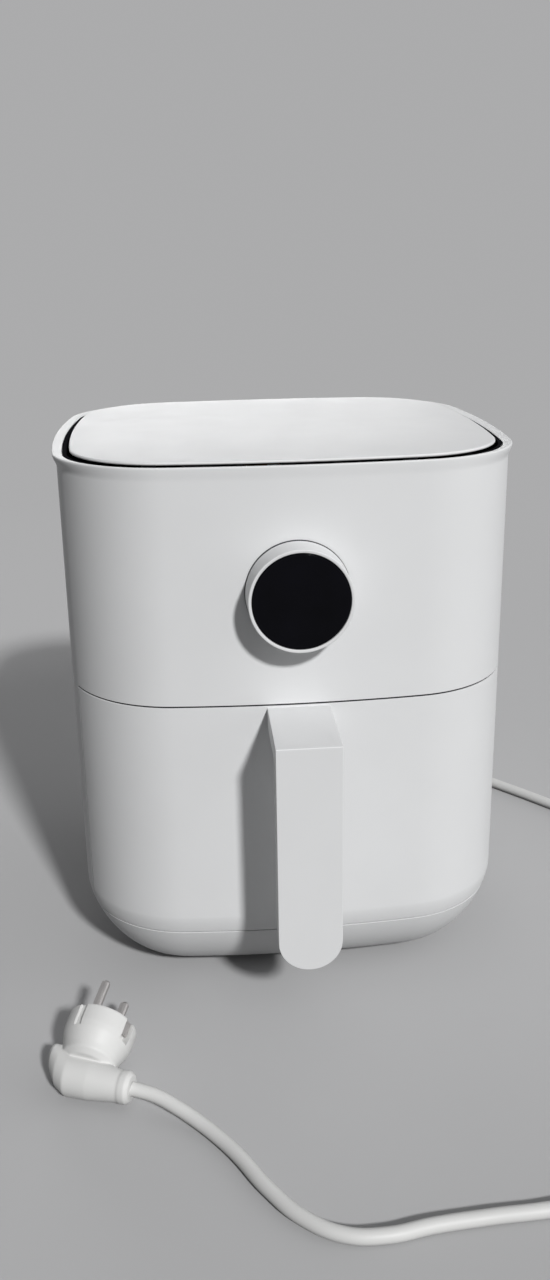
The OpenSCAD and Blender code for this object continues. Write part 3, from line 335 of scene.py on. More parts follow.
def combine(item, operation, *tools):
    """Cuts the tools out of item, keeps what they share or adds them to it, and removes them."""
    for tool in tools:
        step = item.modifiers.new("combine", "BOOLEAN")
        step.operation = operation
        step.solver = "EXACT"
        step.object = tool
        settle(item)
        bpy.data.objects.remove(tool)
    return item


def join(item, *others):
    """Makes one mesh of several."""
    made = bmesh.new()
    made.from_mesh(item.data)
    for other in others:
        made.from_mesh(other.data)
        bpy.data.objects.remove(other)
    made.to_mesh(item.data)
    made.free()
    return item


def dress(item, material, body, *nodes):
    """Gives a new piece its material and body, and hides the CAD nodes that it stands for."""
    item.data.materials.clear()
    item.data.materials.append(MATERIALS[material])
    for polygon in getattr(item.data, "polygons", []):      # a cord's curve has none
        polygon.material_index = 0
    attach(item, body)
    if nodes:
        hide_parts(*nodes)
    return item


def degrees(start, end, step):
    return [math.radians(a) for a in range(start, end + 1, step)]


def ease(t):
    """0 to 1 with a level start and end."""
    return t * t * (3 - 2 * t)


def arc(centre, radius, start, end, steps):
    """Points of an arc in a plane, angles in degrees."""
    angles = [math.radians(start + (end - start) * i / steps) for i in range(steps + 1)]
    return [(centre[0] + radius * math.cos(a), centre[1] + radius * math.sin(a)) for a in angles]


def ring_faces(count, steps, closed=False, whole=True):
    """Faces between rows of points; closed joins the last row to the first, whole the ends of each."""
    return [[j * steps + i, j * steps + (i + 1) % steps,
             (j + 1) % count * steps + (i + 1) % steps, (j + 1) % count * steps + i]
            for j in range(count if closed else count - 1) for i in range(steps if whole else steps - 1)]


ON_AXIS = 1e-7


def lathe(name, profile, steps=96):
    """Solid of revolution about Z from (radius, z) points; a point at radius 0 closes it."""
    vertices, rows = [], []
    for radius, z in profile:
        if radius < ON_AXIS:
            rows.append([len(vertices)] * steps)
            vertices.append((0, 0, z))
            continue
        rows.append(list(range(len(vertices), len(vertices) + steps)))
        vertices += [(radius * math.cos(WHOLE * i / steps), radius * math.sin(WHOLE * i / steps), z)
                     for i in range(steps)]
    faces = []
    closed = min(profile[0][0], profile[-1][0]) > ON_AXIS
    pairs = list(zip(rows, rows[1:])) + ([(rows[-1], rows[0])] if closed else [])
    for a, b in pairs:
        for i in range(steps):
            j = (i + 1) % steps
            face = [a[i], a[j], b[j], b[i]]
            faces.append([v for k, v in enumerate(face) if v not in face[:k]])
    return new_object(name, vertices, faces)


def prism(name, outline, low, high, place):
    """Extrudes a closed plane outline from low to high; place turns (u, v, w) into a point."""
    n = len(outline)
    vertices = [place(u, v, w) for w in (low, high) for u, v in outline]
    faces = [list(range(n)), list(range(2 * n - 1, n - 1, -1))]
    faces += [[i, (i + 1) % n, n + (i + 1) % n, n + i] for i in range(n)]
    return new_object(name, vertices, faces)


def block(name, low, high):
    outline = [(low[0], low[1]), (high[0], low[1]), (high[0], high[1]), (low[0], high[1])]
    return prism(name, outline, low[2], high[2], lambda u, v, w: (u, v, w))


def cylinder(name, radius, length, steps=48):
    return lathe(name, [(0, 0), (radius, 0), (radius, length), (0, length)], steps)


def rearward(x, y, z):
    """Puts the start of a lathe at a point and turns its axis towards the rear."""
    return Matrix.Translation((x, y, z)) @ Matrix.Rotation(-QUARTER, 4, "X")


# ---------------------------------------------------------------- body outline

corner_x = half_w - corner_r - wall_bulge
corner_y = half_d - corner_r - wall_bulge


def side_radius(reach):
    """Radius of the shallow arc between two corners, whose middles lie reach from the arc's middle."""
    return (reach ** 2 + (corner_r + wall_bulge) ** 2 - corner_r ** 2) / (2 * wall_bulge)


side_arc = side_radius(corner_y)
front_arc = side_radius(corner_x)
side_turn = math.atan2(corner_y, corner_x - half_w + side_arc)
front_turn = math.atan2(corner_x, corner_y - half_d + front_arc)
ARCS = [
    (half_w - side_arc, 0, side_arc, -side_turn, side_turn),
    (corner_x, corner_y, corner_r, side_turn, QUARTER - front_turn),
    (0, half_d - front_arc, front_arc, QUARTER - front_turn, QUARTER + front_turn),
    (-corner_x, corner_y, corner_r, QUARTER + front_turn, 2 * QUARTER - side_turn),
    (side_arc - half_w, 0, side_arc, 2 * QUARTER - side_turn, 2 * QUARTER + side_turn),
    (-corner_x, -corner_y, corner_r, 2 * QUARTER + side_turn, 3 * QUARTER - front_turn),
    (0, front_arc - half_d, front_arc, 3 * QUARTER - front_turn, 3 * QUARTER + front_turn),
    (corner_x, -corner_y, corner_r, 3 * QUARTER + front_turn, 4 * QUARTER - side_turn)]
SIDE_STEPS = 14
CORNER_STEPS = 18
LOW_STEP = 1.5 * MM
WALL_STEP = 8 * MM


def outline_stops(*cuts):
    """Places along the outline, with extra ones where it crosses the planes y = cut at the front."""
    stops = [k + i / (CORNER_STEPS if k % 2 else SIDE_STEPS)
             for k in range(8) for i in range(CORNER_STEPS if k % 2 else SIDE_STEPS)]
    for y in cuts:
        dip = math.asin(-(y + corner_y) / corner_r)
        for k, angle in ((5, 2 * QUARTER + dip), (7, 4 * QUARTER - dip)):
            stops.append(k + (angle - ARCS[k][3]) / (ARCS[k][4] - ARCS[k][3]))
    return sorted(stops)


def outline_point(stop, inset):
    """A point inset metres inside the outline, measured from the body's middle."""
    x, y, radius, start, end = ARCS[int(stop)]
    angle = start + (end - start) * (stop - int(stop))
    return x + (radius - inset) * math.cos(angle), y + (radius - inset) * math.sin(angle)


def wall_point(stop, inset, z):
    """The same point in the frame, at height z."""
    x, y = outline_point(stop, inset)
    return x, body_y + y, z


def loft_ring(name, profile_at):
    """A closed ring round the body; profile_at gives the (inset, z) pairs at a distance x from its middle."""
    stops = outline_stops()
    profiles = [profile_at(outline_point(stop, 0)[0]) for stop in stops]
    count = len(profiles[0])
    vertices = [wall_point(stop, *profile[j]) for j in range(count) for stop, profile in zip(stops, profiles)]
    return new_object(name, vertices, ring_faces(count, len(stops), closed=True))


def shell_wall(name, rows, present, *cuts):
    """A wall of even thickness over the cells of the body's side that present() keeps."""
    stops = outline_stops(*cuts)
    n = len(stops)
    vertices, index, faces = [], {}, []

    def corner(side, i, j):
        key = (side, i % n, j)
        if key not in index:
            index[key] = len(vertices)
            vertices.append(wall_point(stops[i % n], low_inset(rows[j], wall * side), rows[j]))
        return index[key]

    def kept(i, j):
        if not 0 <= j < len(rows) - 1:
            return False
        y = (outline_point(stops[i % n], 0)[1] + outline_point(stops[(i + 1) % n], 0)[1]) / 2
        return present(y, (rows[j] + rows[j + 1]) / 2)

    for i in range(n):
        for j in range(len(rows) - 1):
            if not kept(i, j):
                continue
            for side in (0, 1):
                faces.append([corner(side, i, j), corner(side, i + 1, j),
                              corner(side, i + 1, j + 1), corner(side, i, j + 1)])
            for di, dj, a, b in ((-1, 0, (i, j), (i, j + 1)), (1, 0, (i + 1, j), (i + 1, j + 1)),
                                 (0, -1, (i, j), (i + 1, j)), (0, 1, (i, j + 1), (i + 1, j + 1))):
                if not kept(i + di, j + dj):
                    faces.append([corner(0, *a), corner(0, *b), corner(1, *b), corner(1, *a)])
    return new_object(name, vertices, faces)


def steps_between(low, high, most):
    """Even steps from low to high, none longer than most."""
    count = max(1, math.ceil((high - low) / most))
    return [low + (high - low) * i / count for i in range(count + 1)]


def wall_rows(low, *marks):
    """Heights of the wall's rows, close together where it curves in, with one at each mark."""
    rows = steps_between(low, round_z, LOW_STEP)
    for start, (end, most) in zip([round_z] + [mark[0] for mark in marks], marks):
        rows += steps_between(start, end, most)[1:]
    return rows


# ---------------------------------------------------------------- cord and plug

CORD_D = 7 * MM
# The cord's middle line in mm, out of the gland, round the right side and along the front to the plug.
CORD_ROUTE = [
    (60, 175, 50), (60, 184, 50), (61, 194, 48), (64, 204, 43), (70, 212.5, 35.5),
    (79, 217.5, 26.5), (91, 218.5, 17.8), (104, 214.5, 10.8), (117, 205.5, 6), (130, 192.5, 3.9),
    (142, 178.5, 3.6), (155, 162.5, 3.6), (171, 143, 3.6), (191, 119, 3.6), (211, 94, 3.6),
    (230, 69, 3.6), (248, 42, 3.6), (263, 12, 3.6), (273, -20, 3.6), (278, -55, 3.6),
    (276, -93, 3.6), (267, -132, 3.6), (251, -169, 3.6), (229, -203, 3.6), (200, -232, 3.6),
    (167, -255, 3.6), (132, -270, 3.6), (97, -278, 3.6), (62, -280, 3.6), (37, -282, 3.6),
    (17, -285, 3.6), (-1, -283, 3.6), (-18, -272, 3.6), (-32, -254, 3.6), (-44.5, -232, 3.6),
    (-53, -220, 3.8), (-62, -210, 4.8), (-72, -201.5, 6.8), (-82, -195, 9), (-94, -190, 10.4)]
PLUG_TURN = math.radians(-20)
PLUG_TILT = math.radians(20)
PLUG_EXIT = 27 * MM         # from the middle of the contact face to the cord, along its sleeve
PLUG_BACK = 32 * MM         # from the contact face back to the sleeve's axis
PLUG_R = 18.25 * MM
PIN_ROLL = math.radians(68)


def curve_object(name, points, radius):
    data = bpy.data.curves.new(name, "CURVE")
    data.dimensions = "3D"
    data.bevel_depth = radius
    data.bevel_resolution = 6
    data.resolution_u = 8
    data.use_fill_caps = True
    line = data.splines.new("BEZIER")
    line.bezier_points.add(len(points) - 1)
    for knot, place in zip(line.bezier_points, points):
        knot.co = place
        knot.handle_left_type = knot.handle_right_type = "AUTO"
    item = bpy.data.objects.new(name, data)
    bpy.context.scene.collection.objects.link(item)
    return item


def plug_frame():
    """+X along the cord's exit, +Y along the pins, origin at the middle of the contact face."""
    turn = Matrix.Rotation(PLUG_TURN, 4, "Z") @ Matrix.Rotation(PLUG_TILT, 4, "X")
    return (Matrix.Translation(Vector(CORD_ROUTE[-1]) * MM) @ turn
            @ Matrix.Translation((-PLUG_EXIT, PLUG_BACK, 0)))


def hull(name, points):
    """The tightest skin round a set of points."""
    item = bpy.data.objects.new(name, bpy.data.meshes.new(name))
    bpy.context.scene.collection.objects.link(item)
    made = bmesh.new()
    for point in points:
        made.verts.new(point)
    bmesh.ops.convex_hull(made, input=made.verts)
    made.to_mesh(item.data)
    made.free()
    return item


def plug_face():
    """Round contact part that narrows backwards, round +Y."""
    lip, straight, narrowing, back_r, length = 0.6 * MM, 9 * MM, 13 * MM, 14.5 * MM, 25 * MM
    profile = [(0, 0), (PLUG_R - lip, 0), (PLUG_R, lip), (PLUG_R, straight)]
    profile += [(PLUG_R - (PLUG_R - back_r) * ease(t), straight + t * narrowing)
                for t in (0.25, 0.5, 0.75, 1)]
    profile += [(back_r - 3 * MM, length - 0.5 * MM), (0, length)]
    item = lathe("plug_face", profile)
    item.data.transform(Matrix.Rotation(QUARTER, 4, "X"))
    return item


def plug_sleeve():
    """Sleeve round the cord's end with a collar, round +X."""
    sleeve_r, collar_r, mouth_r = 7.4 * MM, 8.1 * MM, 6.6 * MM
    collar_start, collar_end, step = PLUG_EXIT - 5.2 * MM, PLUG_EXIT - 1.8 * MM, 0.6 * MM
    item = lathe("plug_sleeve", [
        (0, 0), (sleeve_r, 0), (sleeve_r, collar_start - step), (collar_r, collar_start),
        (collar_r, collar_end), (mouth_r, PLUG_EXIT), (0, PLUG_EXIT)], 64)
    item.data.transform(Matrix.Translation((0, -PLUG_BACK, 0)) @ Matrix.Rotation(QUARTER, 4, "Y"))
    return item


def make_plug():
    """Contact part, a wedge block across its back and the sleeve, blended into one moulding."""
    # middle and radius of circles along the block, in mm, from its tip to the sleeve
    stations = [(-20.4, -21, 4.6), (-18, -23.5, 7.4), (-13, -28, 9.2), (-7, -31, 10), (5, -31.6, 9.6),
                (21, -32, 7.7)]
    item = hull("plug_shell", [(x * MM, (y + r * math.cos(a)) * MM, r * math.sin(a) * MM)
                               for a in (WHOLE * i / 48 for i in range(48)) for x, y, r in stations])
    combine(item, "UNION", plug_face(), plug_sleeve())
    remesh = item.modifiers.new("remesh", "REMESH")
    remesh.mode = "VOXEL"
    remesh.voxel_size = 0.42 * MM
    blend = item.modifiers.new("blend", "SMOOTH")
    blend.factor = 0.6
    blend.iterations = 10
    settle(item)
    # grooves for the earth clips and, a quarter turn from them, for the socket's guides
    groove_l, past = 12 * MM, 2 * MM
    earth_half, earth_bottom = 3.2 * MM, PLUG_R - 4.6 * MM
    guide_half, guide_bottom = 2.2 * MM, PLUG_R - 1.8 * MM
    outside = PLUG_R + 10 * MM
    for half_turn in (0, math.pi):
        earth = block("earth_groove", (-earth_half, -groove_l, earth_bottom), (earth_half, past, outside))
        guide = block("guide_groove", (guide_bottom, -groove_l, -guide_half), (outside, past, guide_half))
        for tool in (earth, guide):
            tool.data.transform(Matrix.Rotation(PIN_ROLL + half_turn, 4, "Y"))
        combine(item, "DIFFERENCE", earth, guide)
    item.data.transform(plug_frame())
    return smooth(item, 35)


def make_cord():
    points = [Vector(p) * MM for p in CORD_ROUTE]
    flex = curve_object("cord", points, CORD_D / 2)
    dress(flex, "cord_white", "housing", "mains_cord")
    plug = dress(make_plug(), "cord_white", "housing", "plug_body")


# ---------------------------------------------------------------- body shells

SHELL_EDGE = 0.25 * MM


def make_casing():
    """Upper shell with the sides and the back in one, open in front below the seam."""
    split, buried = front_top + seam_seen, rim_z + 0.5 * MM
    rows = wall_rows(shell_bottom, (split, WALL_STEP), (buried, 6 * MM))
    item = shell_wall("casing", rows, lambda y, z: y >= casing_cut or z >= split, casing_cut)
    knob_hole_r, cord_hole_r, past = 13.4 * MM, 7.25 * MM, 5 * MM
    knob_hole = cylinder("knob_hole", knob_hole_r, wall + 2 * past)
    knob_hole.data.transform(rearward(0, wall_front - past, knob_z))
    low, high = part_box("strain_relief")
    cord_hole = cylinder("cord_hole", cord_hole_r, wall + 2 * past)
    cord_hole.data.transform(rearward((low[0] + high[0]) / 2, body_y + half_d - wall - past,
                                      (low[2] + high[2]) / 2))
    low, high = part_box("rear_outlet")
    outlet_hole = block("outlet_hole", (low[0] - seat, low[1] - past, low[2] - seat),
                        (high[0] + seat, high[1] + past, high[2] + seat))
    combine(item, "DIFFERENCE", knob_hole, cord_hole, outlet_hole)
    soften(item, SHELL_EDGE)
    dress(smooth(item), "white_plastic", "housing", "outer_casing")


def make_seam_shade_strip():
    """Black strip under the casing's lower edge: painted shade that darkens the seam over the drawer."""
    low, high = front_top + 0.12 * MM, front_top + seam_seen
    front, back = 0.7 * MM, 2.2 * MM
    stops = [s for s in outline_stops(casing_cut) if outline_point(s, 0)[1] < casing_cut + 0.01 * MM]
    section = [(front, low), (front, high), (back, high), (back, low)]
    vertices = [wall_point(stop, inset, z) for inset, z in section for stop in stops]
    rows, n = range(len(section)), len(stops)
    faces = ring_faces(len(section), n, closed=True, whole=False)
    faces += [[j * n for j in rows], [j * n + n - 1 for j in rows]]
    # the black strip is painted shade in the seam over the drawer
    dress(smooth(new_object("seam_painted_shade", vertices, faces), 40), "black_plastic", "housing")


def make_drawer_front():
    """Front of the drawer, which carries on the casing's wall below the seam."""
    rows = wall_rows(front_bottom, (front_top, WALL_STEP))
    item = shell_wall("drawer_face", rows, lambda y, z: y < front_edge, front_edge)
    soften(item, SHELL_EDGE)
    dress(smooth(item), "white_plastic", "drawer", "drawer_front")


def make_rim():
    """Lip round the top, flared at the sides, whose top slopes in; below, a skirt inside the casing."""
    front_flare, side_flare, lip = 0.35 * MM, 2.4 * MM, 0.8 * MM
    crest, fall, width, fillet = 1.1 * MM, 0.75 * MM, 3.15 * MM, 0.3 * MM
    step_z, skirt, skirt_in = body_h - 2 * MM, wall + seat, wall + seat + 1.3 * MM
    rise = body_h - lip - rim_z
    shares = [i / 12 for i in range(13)]
    inside = [(crest, body_h - 0.05 * MM)]
    inside += [(width - fillet + fillet * math.sin(a), body_h - fall - fillet + fillet * math.cos(a))
               for a in degrees(0, 90, 18)]
    inside += [(width, step_z), (skirt_in, step_z), (skirt_in, rim_bottom), (skirt, rim_bottom),
               (skirt, rim_z)]

    def profile(x):
        flare = front_flare + (side_flare - front_flare) * abs(x / half_w) ** 7
        outside = [(-flare * ease(t), rim_z + t * rise) for t in shares]
        outside += [(lip * (1 - math.cos(a)) - flare, body_h - lip * (1 - math.sin(a)))
                    for a in degrees(15, 90, 15)]
        return outside + inside

    dress(smooth(loft_ring("rim", profile)), "white_plastic", "housing", "top_rim")


def make_cover():
    """Low pillow with a small rounded edge, hollow below, on six posts."""
    inset = half_w - cover_high[0]
    lip, roll, rise, crown_steps, hollow = 0.8 * MM, 1 * MM, 3.6 * MM, 31, 0.12
    low_z = cover_high[2] - rise - roll - lip
    under, edge_z = low_z + 1.2 * MM, low_z + lip
    stops = outline_stops()
    crown = [outline_point(stop, inset + roll) for stop in stops]

    def shrunk(share, z):
        return [(x * share, body_y + y * share, z) for x, y in crown]

    profile = [(inset + 3 * MM, under), (inset + 2.4 * MM, low_z), (inset + lip, low_z)]
    profile += [(inset + lip * (1 - math.sin(a)), low_z + lip * (1 - math.cos(a)))
                for a in degrees(30, 90, 20)]
    profile += [(inset + roll * (1 - math.cos(a)), edge_z + roll * math.sin(a))
                for a in degrees(15, 90, 15)]
    vertices = shrunk(hollow, under)
    vertices += [wall_point(stop, depth, z) for depth, z in profile for stop in stops]
    for k in range(1, crown_steps):
        share = 1 - k / crown_steps
        vertices += shrunk(share, edge_z + roll + rise * (1 - share ** 4))
    n = len(stops)
    faces = ring_faces(len(vertices) // n, n)
    faces += [list(range(len(vertices) - n, len(vertices))), list(range(n - 1, -1, -1))]
    item = new_object("cover", vertices, faces)
    foot, post_r, posts_at = cover_low[2], 4 * MM, 85 * MM
    posts = []
    for angle in degrees(30, 330, 60):
        post = cylinder("cover_post", post_r, under + 1 * MM - foot, 24)
        post.data.transform(Matrix.Translation((0, body_y, foot)) @ Matrix.Rotation(angle, 4, "Z")
                            @ Matrix.Translation((posts_at, 0, 0)))
        posts.append(post)
    dress(smooth(join(item, *posts), 60), "white_plastic", "housing", "top_cover")


def make_base():
    """Rounded lower edge of the body, with a tongue inside the casing and a flange for the base plate."""
    top = base_tongue - 3 * MM
    gauge, tongue_t, flange, lip = 2.6 * MM, 1.4 * MM, 8 * MM, 0.35 * MM
    floor_z, root = foot_h + gauge, top - 4.5 * MM
    outer_rows = [foot_h + (top - lip - foot_h) * (i / 28) ** 2 for i in range(29)]
    inner_rows = [floor_z + (root - floor_z) * (i / 14) ** 2 for i in range(14, -1, -1)]
    edge, tip = low_inset(top, wall) + seat, low_inset(base_tongue, wall) + seat
    profile = [(base_in + flange, foot_h)]
    profile += [(low_inset(z), z) for z in outer_rows]
    profile += [(low_inset(top) + lip * (1 - math.cos(a)), top - lip * (1 - math.sin(a)))
                for a in degrees(30, 90, 30)]
    profile += [(edge, top), (tip, base_tongue), (tip + tongue_t, base_tongue), (edge + tongue_t, top)]
    profile += [(low_inset(z, gauge), z) for z in inner_rows]
    profile += [(base_in + flange, floor_z)]
    dress(smooth(loft_ring("base", lambda x: profile)), "white_plastic", "housing", "base_ring")


# ---------------------------------------------------------------- handle and knob

def make_handle():
    """Flat strip out from the drawer, round a bend and down to a round tip."""
    low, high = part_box("handle")
    half, face, top, tip = high[0], low[1], high[2], low[2]
    root, past = wall_front + 2 * MM, 10 * MM
    thick, top_thick, drop, bend, inner_bend = 9.5 * MM, 12 * MM, 3 * MM, 0.6 * MM, 5 * MM
    side = [(root, top)]
    side += arc((face + bend, top - drop - bend), bend, 90, 180, 12)
    side += [(face, tip), (face + thick, tip)]
    side += arc((face + thick + inner_bend, top - top_thick - inner_bend), inner_bend, 180, 90, 10)
    side += [(root, top - top_thick)]
    item = prism("handle_strip", side, -half, half, lambda u, v, w: (w, u, v))
    front = arc((0, tip + half), half, 180, 360, 48) + [(half, top + past), (-half, top + past)]
    combine(item, "INTERSECT", prism("strip", front, face - past, root + past, lambda u, v, w: (u, w, v)))

    def plate_z(y):
        return top - drop * (root - y) / (root - face - bend)

    # thumb rest: a wedge with sloping sides, deepest at the front
    rest_front, rest_rear, above = face + 5 * MM, face + 26 * MM, top + 5 * MM
    rest_half, depth = 12.5 * MM, 0.7 * MM
    wedge = [(rest_rear, plate_z(rest_rear)), (rest_front, plate_z(rest_front) - depth),
             (rest_front, above), (rest_rear, above)]
    rest = prism("thumb_rest", wedge, -1, 1, lambda u, v, w: (w * (rest_half + v - plate_z(u)), u, v))
    # pocket for the inner cover, in the back of the strip
    low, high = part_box("handle_inner")
    pocket_half, pocket_top = half - 3 * MM, high[2] + seat
    front = arc((0, tip + half), pocket_half, 180, 360, 48)
    front += [(pocket_half, pocket_top), (-pocket_half, pocket_top)]
    pocket = prism("pocket", front, low[1], high[1] + 5 * MM, lambda u, v, w: (u, w, v))
    combine(item, "DIFFERENCE", rest, pocket)
    soften(item, 0.5 * MM, 4, 45)
    dress(smooth(item), "white_plastic", "drawer", "handle")


KNOB_STEPS = 160


def round_edge(radius, z, fillet):
    """Lathe points of a rounded front edge, from the face at z out to the side."""
    return [(radius - fillet + fillet * math.sin(a), z + fillet * (1 - math.cos(a)))
            for a in degrees(0, 90, 18)]


def make_knob():
    """Turning ring, the lens in it, and a dark grey annulus behind the ring's gap as painted shade; depths
    run back from the lens.
    """
    glass_r = display_r - 0.55 * MM
    glass_back, stem_back = lens_back - display_face, ring_end - display_face
    back = wall_front - display_face - 1.2 * MM
    bore, sleeve_r, stem_r = glass_r + 0.3 * MM, 13 * MM, 11 * MM
    ring_face, web = 0.1 * MM, back - 2.4 * MM
    profile = [(bore, 0.6 * MM), (bore + 0.15 * MM, 0.25 * MM), (bore + 0.45 * MM, ring_face)]
    profile += round_edge(ring_r - 0.3 * MM, ring_face, 0.5 * MM)
    profile += [(ring_r - 0.15 * MM, back - 1 * MM), (ring_r, back - 0.5 * MM), (ring_r - 0.3 * MM, back),
                (sleeve_r, back), (sleeve_r, stem_back), (stem_r, stem_back), (stem_r, web), (bore, web)]
    ring = lathe("turning_ring", profile, KNOB_STEPS)
    ring.data.transform(rearward(0, display_face, knob_z))
    dress(smooth(ring, 45), "white_plastic", "knob_ring", "knob_ring")

    profile = [(0, 0), (8 * MM, 0), (16 * MM, 0)] + round_edge(glass_r, 0, 0.45 * MM)
    lens = lathe("lens", profile + [(glass_r, glass_back), (0, glass_back)], KNOB_STEPS)
    lens.data.transform(rearward(0, display_face, knob_z))
    dress(smooth(lens, 45), "black_glass", "knob_push", "display_lens")

    # dark grey annulus behind the gap between the turning ring and the wall: painted shade in that gap
    gap_shade_r, hole_r, proud, buried = ring_r + 0.25 * MM, sleeve_r + 0.6 * MM, -0.3 * MM, 1 * MM
    profile = [(hole_r, proud), (gap_shade_r - 0.2 * MM, proud), (gap_shade_r, proud + 0.2 * MM), (gap_shade_r, buried),
               (hole_r, buried)]
    plate = lathe("knob_gap_shade", profile, KNOB_STEPS)
    plate.data.transform(rearward(0, wall_front, knob_z))
    dress(smooth(plate, 40), "grey_plastic", "housing")


# ---------------------------------------------------------------- pot

def make_pot():
    """Pressed pot with rounded corners, a rolled rim and a radiused floor."""
    low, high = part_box("pot")
    flange, gauge, taper, fillet, corner = 6 * MM, 1 * MM, 5 * MM, 10 * MM, 34 * MM
    half_x, half_y = high[0] - flange, (high[1] - low[1]) / 2 - flange
    middle_y = (high[1] + low[1]) / 2
    bottom, top = low[2], high[2]
    inner, lip = fillet - gauge, 0.5 * MM - flange

    def ring(inset, z):
        r = corner - inset
        x, y = half_x - inset - r, half_y - inset - r
        points = []
        for sx, sy, start in ((1, 1, 0), (-1, 1, 90), (-1, -1, 180), (1, -1, 270)):
            points += arc((sx * x, sy * y), r, start, start + 90, 16)
        return [(px, py + middle_y, z) for px, py in points]

    turn = degrees(0, 90, 10)
    rings = [ring(taper + fillet - fillet * math.sin(a), bottom + fillet * (1 - math.cos(a))) for a in turn]
    rings += [ring(inset, z) for inset, z in (
        (0.3 * MM, top - gauge - 1.5 * MM), (-0.6 * MM, top - gauge), (lip, top - gauge),
        (-flange, top - gauge / 2), (lip, top), (-0.4 * MM, top),
        (gauge * 0.8, top - 0.6 * MM), (gauge, top - 2 * MM))]
    rings += [ring(taper + fillet - inner * math.sin(a), bottom + fillet - inner * math.cos(a))
              for a in reversed(turn)]
    n = len(rings[0])
    vertices = [point for points in rings for point in points]
    faces = ring_faces(len(rings), n)
    faces += [list(range(n)), list(range(len(vertices) - n, len(vertices)))]
    dress(smooth(new_object("pot_shell", vertices, faces), 60), "nonstick", "drawer", "pot")


# ---------------------------------------------------------------- carried-over nodes

def finish_nodes():
    """Every CAD node that still shows takes the finish of its slot."""
    slots = {part["node"]: part["material_slot"] for part in frame["record"]["subparts"]}
    for name, item in frame["nodes"].items():
        if item.hide_render:
            continue
        item.data.materials.clear()
        item.data.materials.append(MATERIALS[slots[name]])
        for polygon in item.data.polygons:
            polygon.material_index = 0


# ---------------------------------------------------------------- stage and light

BACKGROUND = (0.41, 0.41, 0.415)
FLOOR = (0.50, 0.50, 0.505)
FLOOR_HALF = 6.0
FLOOR_NEAR = 0.45           # how far from the origin the floor starts to fade into the background
FLOOR_FAR = 1.3
FLOOR_BOUNCE = (0.2, 0.2, 0.2)      # its colour for the light that it throws back on the object
WORLD_LEFT = 0.06           # strength of the world's light from each side
WORLD_RIGHT = 0.26


def seen_rays(nodes, links):
    """1 for rays from the camera and for what gloss and glass show, 0 for the light that falls on things."""
    path = nodes.new("ShaderNodeLightPath")
    total = path.outputs["Is Camera Ray"]
    for name in ("Is Glossy Ray", "Is Transmission Ray"):
        add = nodes.new("ShaderNodeMath")
        add.operation = "MAXIMUM"
        links.new(total, add.inputs[0])
        links.new(path.outputs[name], add.inputs[1])
        total = add.outputs[0]
    return total


def mix_shaders(nodes, links, share, low, high):
    """low where share is 0, high where it is 1."""
    node = nodes.new("ShaderNodeMixShader")
    for socket, output in zip(node.inputs, (share, low, high)):
        links.new(output, socket)
    return node.outputs[0]


def pale_surface(name, colour, far):
    """A matt pale surface that fades into the background's colour away from the object."""
    tree = Tree(name)
    nodes, links = tree.nodes, tree.links
    tree.into("Base Color", tree.between(tree.noise(400 * MM, 2), tuple(c * 0.99 for c in colour), colour))
    tree.set(Roughness=0.8)
    away = nodes.new("ShaderNodeVectorMath")
    away.operation = "LENGTH"
    links.new(tree.place, away.inputs[0])
    seen = seen_rays(nodes, links)
    fade = nodes.new("ShaderNodeMath")
    fade.operation = "MULTIPLY"
    links.new(tree.between(away.outputs["Value"], 0.0, 1.0, FLOOR_NEAR, FLOOR_FAR), fade.inputs[0])
    links.new(seen, fade.inputs[1])
    backdrop = nodes.new("ShaderNodeEmission")
    backdrop.inputs["Color"].default_value = (*far, 1)
    bounce = nodes.new("ShaderNodeBsdfDiffuse")
    bounce.inputs["Color"].default_value = (*FLOOR_BOUNCE, 1)
    near = mix_shaders(nodes, links, seen, bounce.outputs[0], tree.shader.outputs[0])
    surface = mix_shaders(nodes, links, fade.outputs[0], near, backdrop.outputs[0])
    links.new(surface, nodes["Material Output"].inputs["Surface"])
    return tree.material


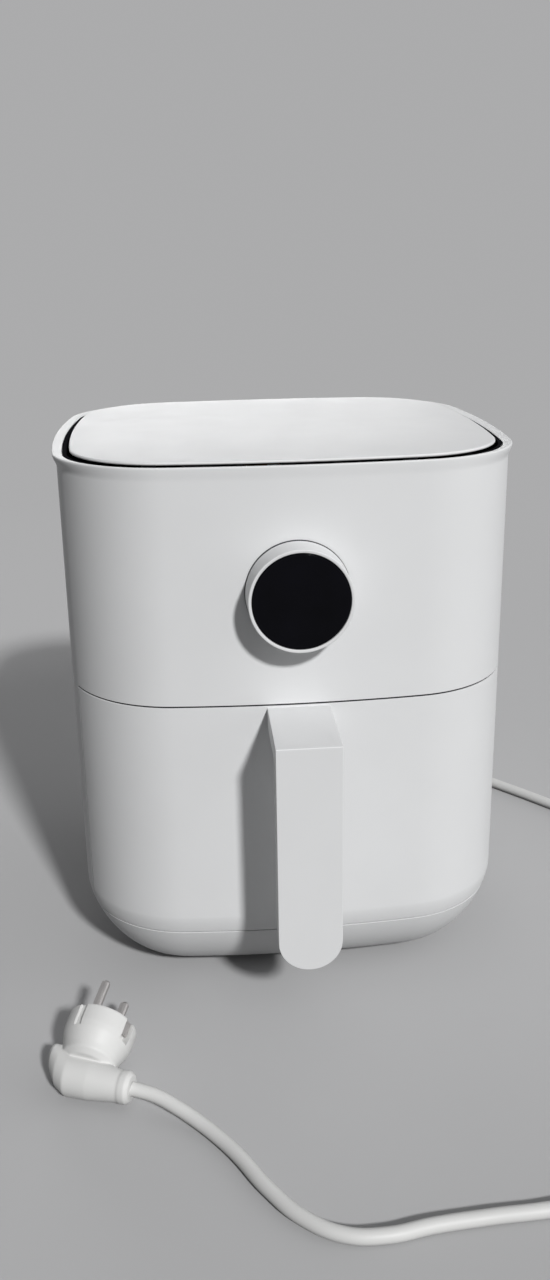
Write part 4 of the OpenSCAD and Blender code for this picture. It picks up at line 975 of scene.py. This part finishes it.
def make_stage():
    far = FLOOR_HALF
    corners = [(-far, -far, 0), (far, -far, 0), (far, far, 0), (-far, far, 0)]
    floor = new_object("floor", corners, [[0, 1, 2, 3]])
    floor.data.materials.append(pale_surface("floor", FLOOR, BACKGROUND))


def sun(name, from_direction, strength, spread):
    """A lamp far away; spread is its width in degrees, which softens its shadows."""
    data = bpy.data.lights.new(name, "SUN")
    data.energy = strength
    data.angle = math.radians(spread)
    item = bpy.data.objects.new(name, data)
    item.rotation_euler = Vector(from_direction).to_track_quat("Z", "Y").to_euler()
    bpy.context.scene.collection.objects.link(item)


def make_light():
    """A key lamp and two fills, and a world that is brighter on the right."""
    sun("key", (0.34, -1.0, 0.75), 2.75, 5)
    sun("fill_right", (1.0, -0.1, 0.1), 0.75, 70)
    sun("fill_back", (-0.1, 1.0, 0.12), 1.1, 40)
    world = bpy.data.worlds.new("studio")
    world.use_nodes = True
    nodes, links = world.node_tree.nodes, world.node_tree.links
    parts = nodes.new("ShaderNodeSeparateXYZ")
    links.new(nodes.new("ShaderNodeTexCoord").outputs["Generated"], parts.inputs[0])
    level = nodes.new("ShaderNodeMapRange")
    for name, value in (("From Min", -1.0), ("From Max", 1.0),
                        ("To Min", WORLD_LEFT), ("To Max", WORLD_RIGHT)):
        level.inputs[name].default_value = value
    links.new(parts.outputs["X"], level.inputs["Value"])
    light = nodes["Background"]
    light.inputs["Color"].default_value = (0.97, 0.98, 1.0, 1)
    links.new(level.outputs["Result"], light.inputs["Strength"])
    backdrop = nodes.new("ShaderNodeBackground")
    backdrop.inputs["Color"].default_value = (*BACKGROUND, 1)
    backdrop.inputs["Strength"].default_value = 1.0
    surface = mix_shaders(nodes, links, seen_rays(nodes, links), light.outputs[0], backdrop.outputs[0])
    links.new(surface, nodes["World Output"].inputs["Surface"])
    bpy.context.scene.world = world


make_camera()
make_materials()
make_cord()
make_casing()
make_drawer_front()
make_seam_shade_strip()
make_rim()
make_cover()
make_base()
make_handle()
make_knob()
make_pot()
finish_nodes()
make_stage()
make_light()
bpy.context.scene.view_settings.view_transform = "Standard"
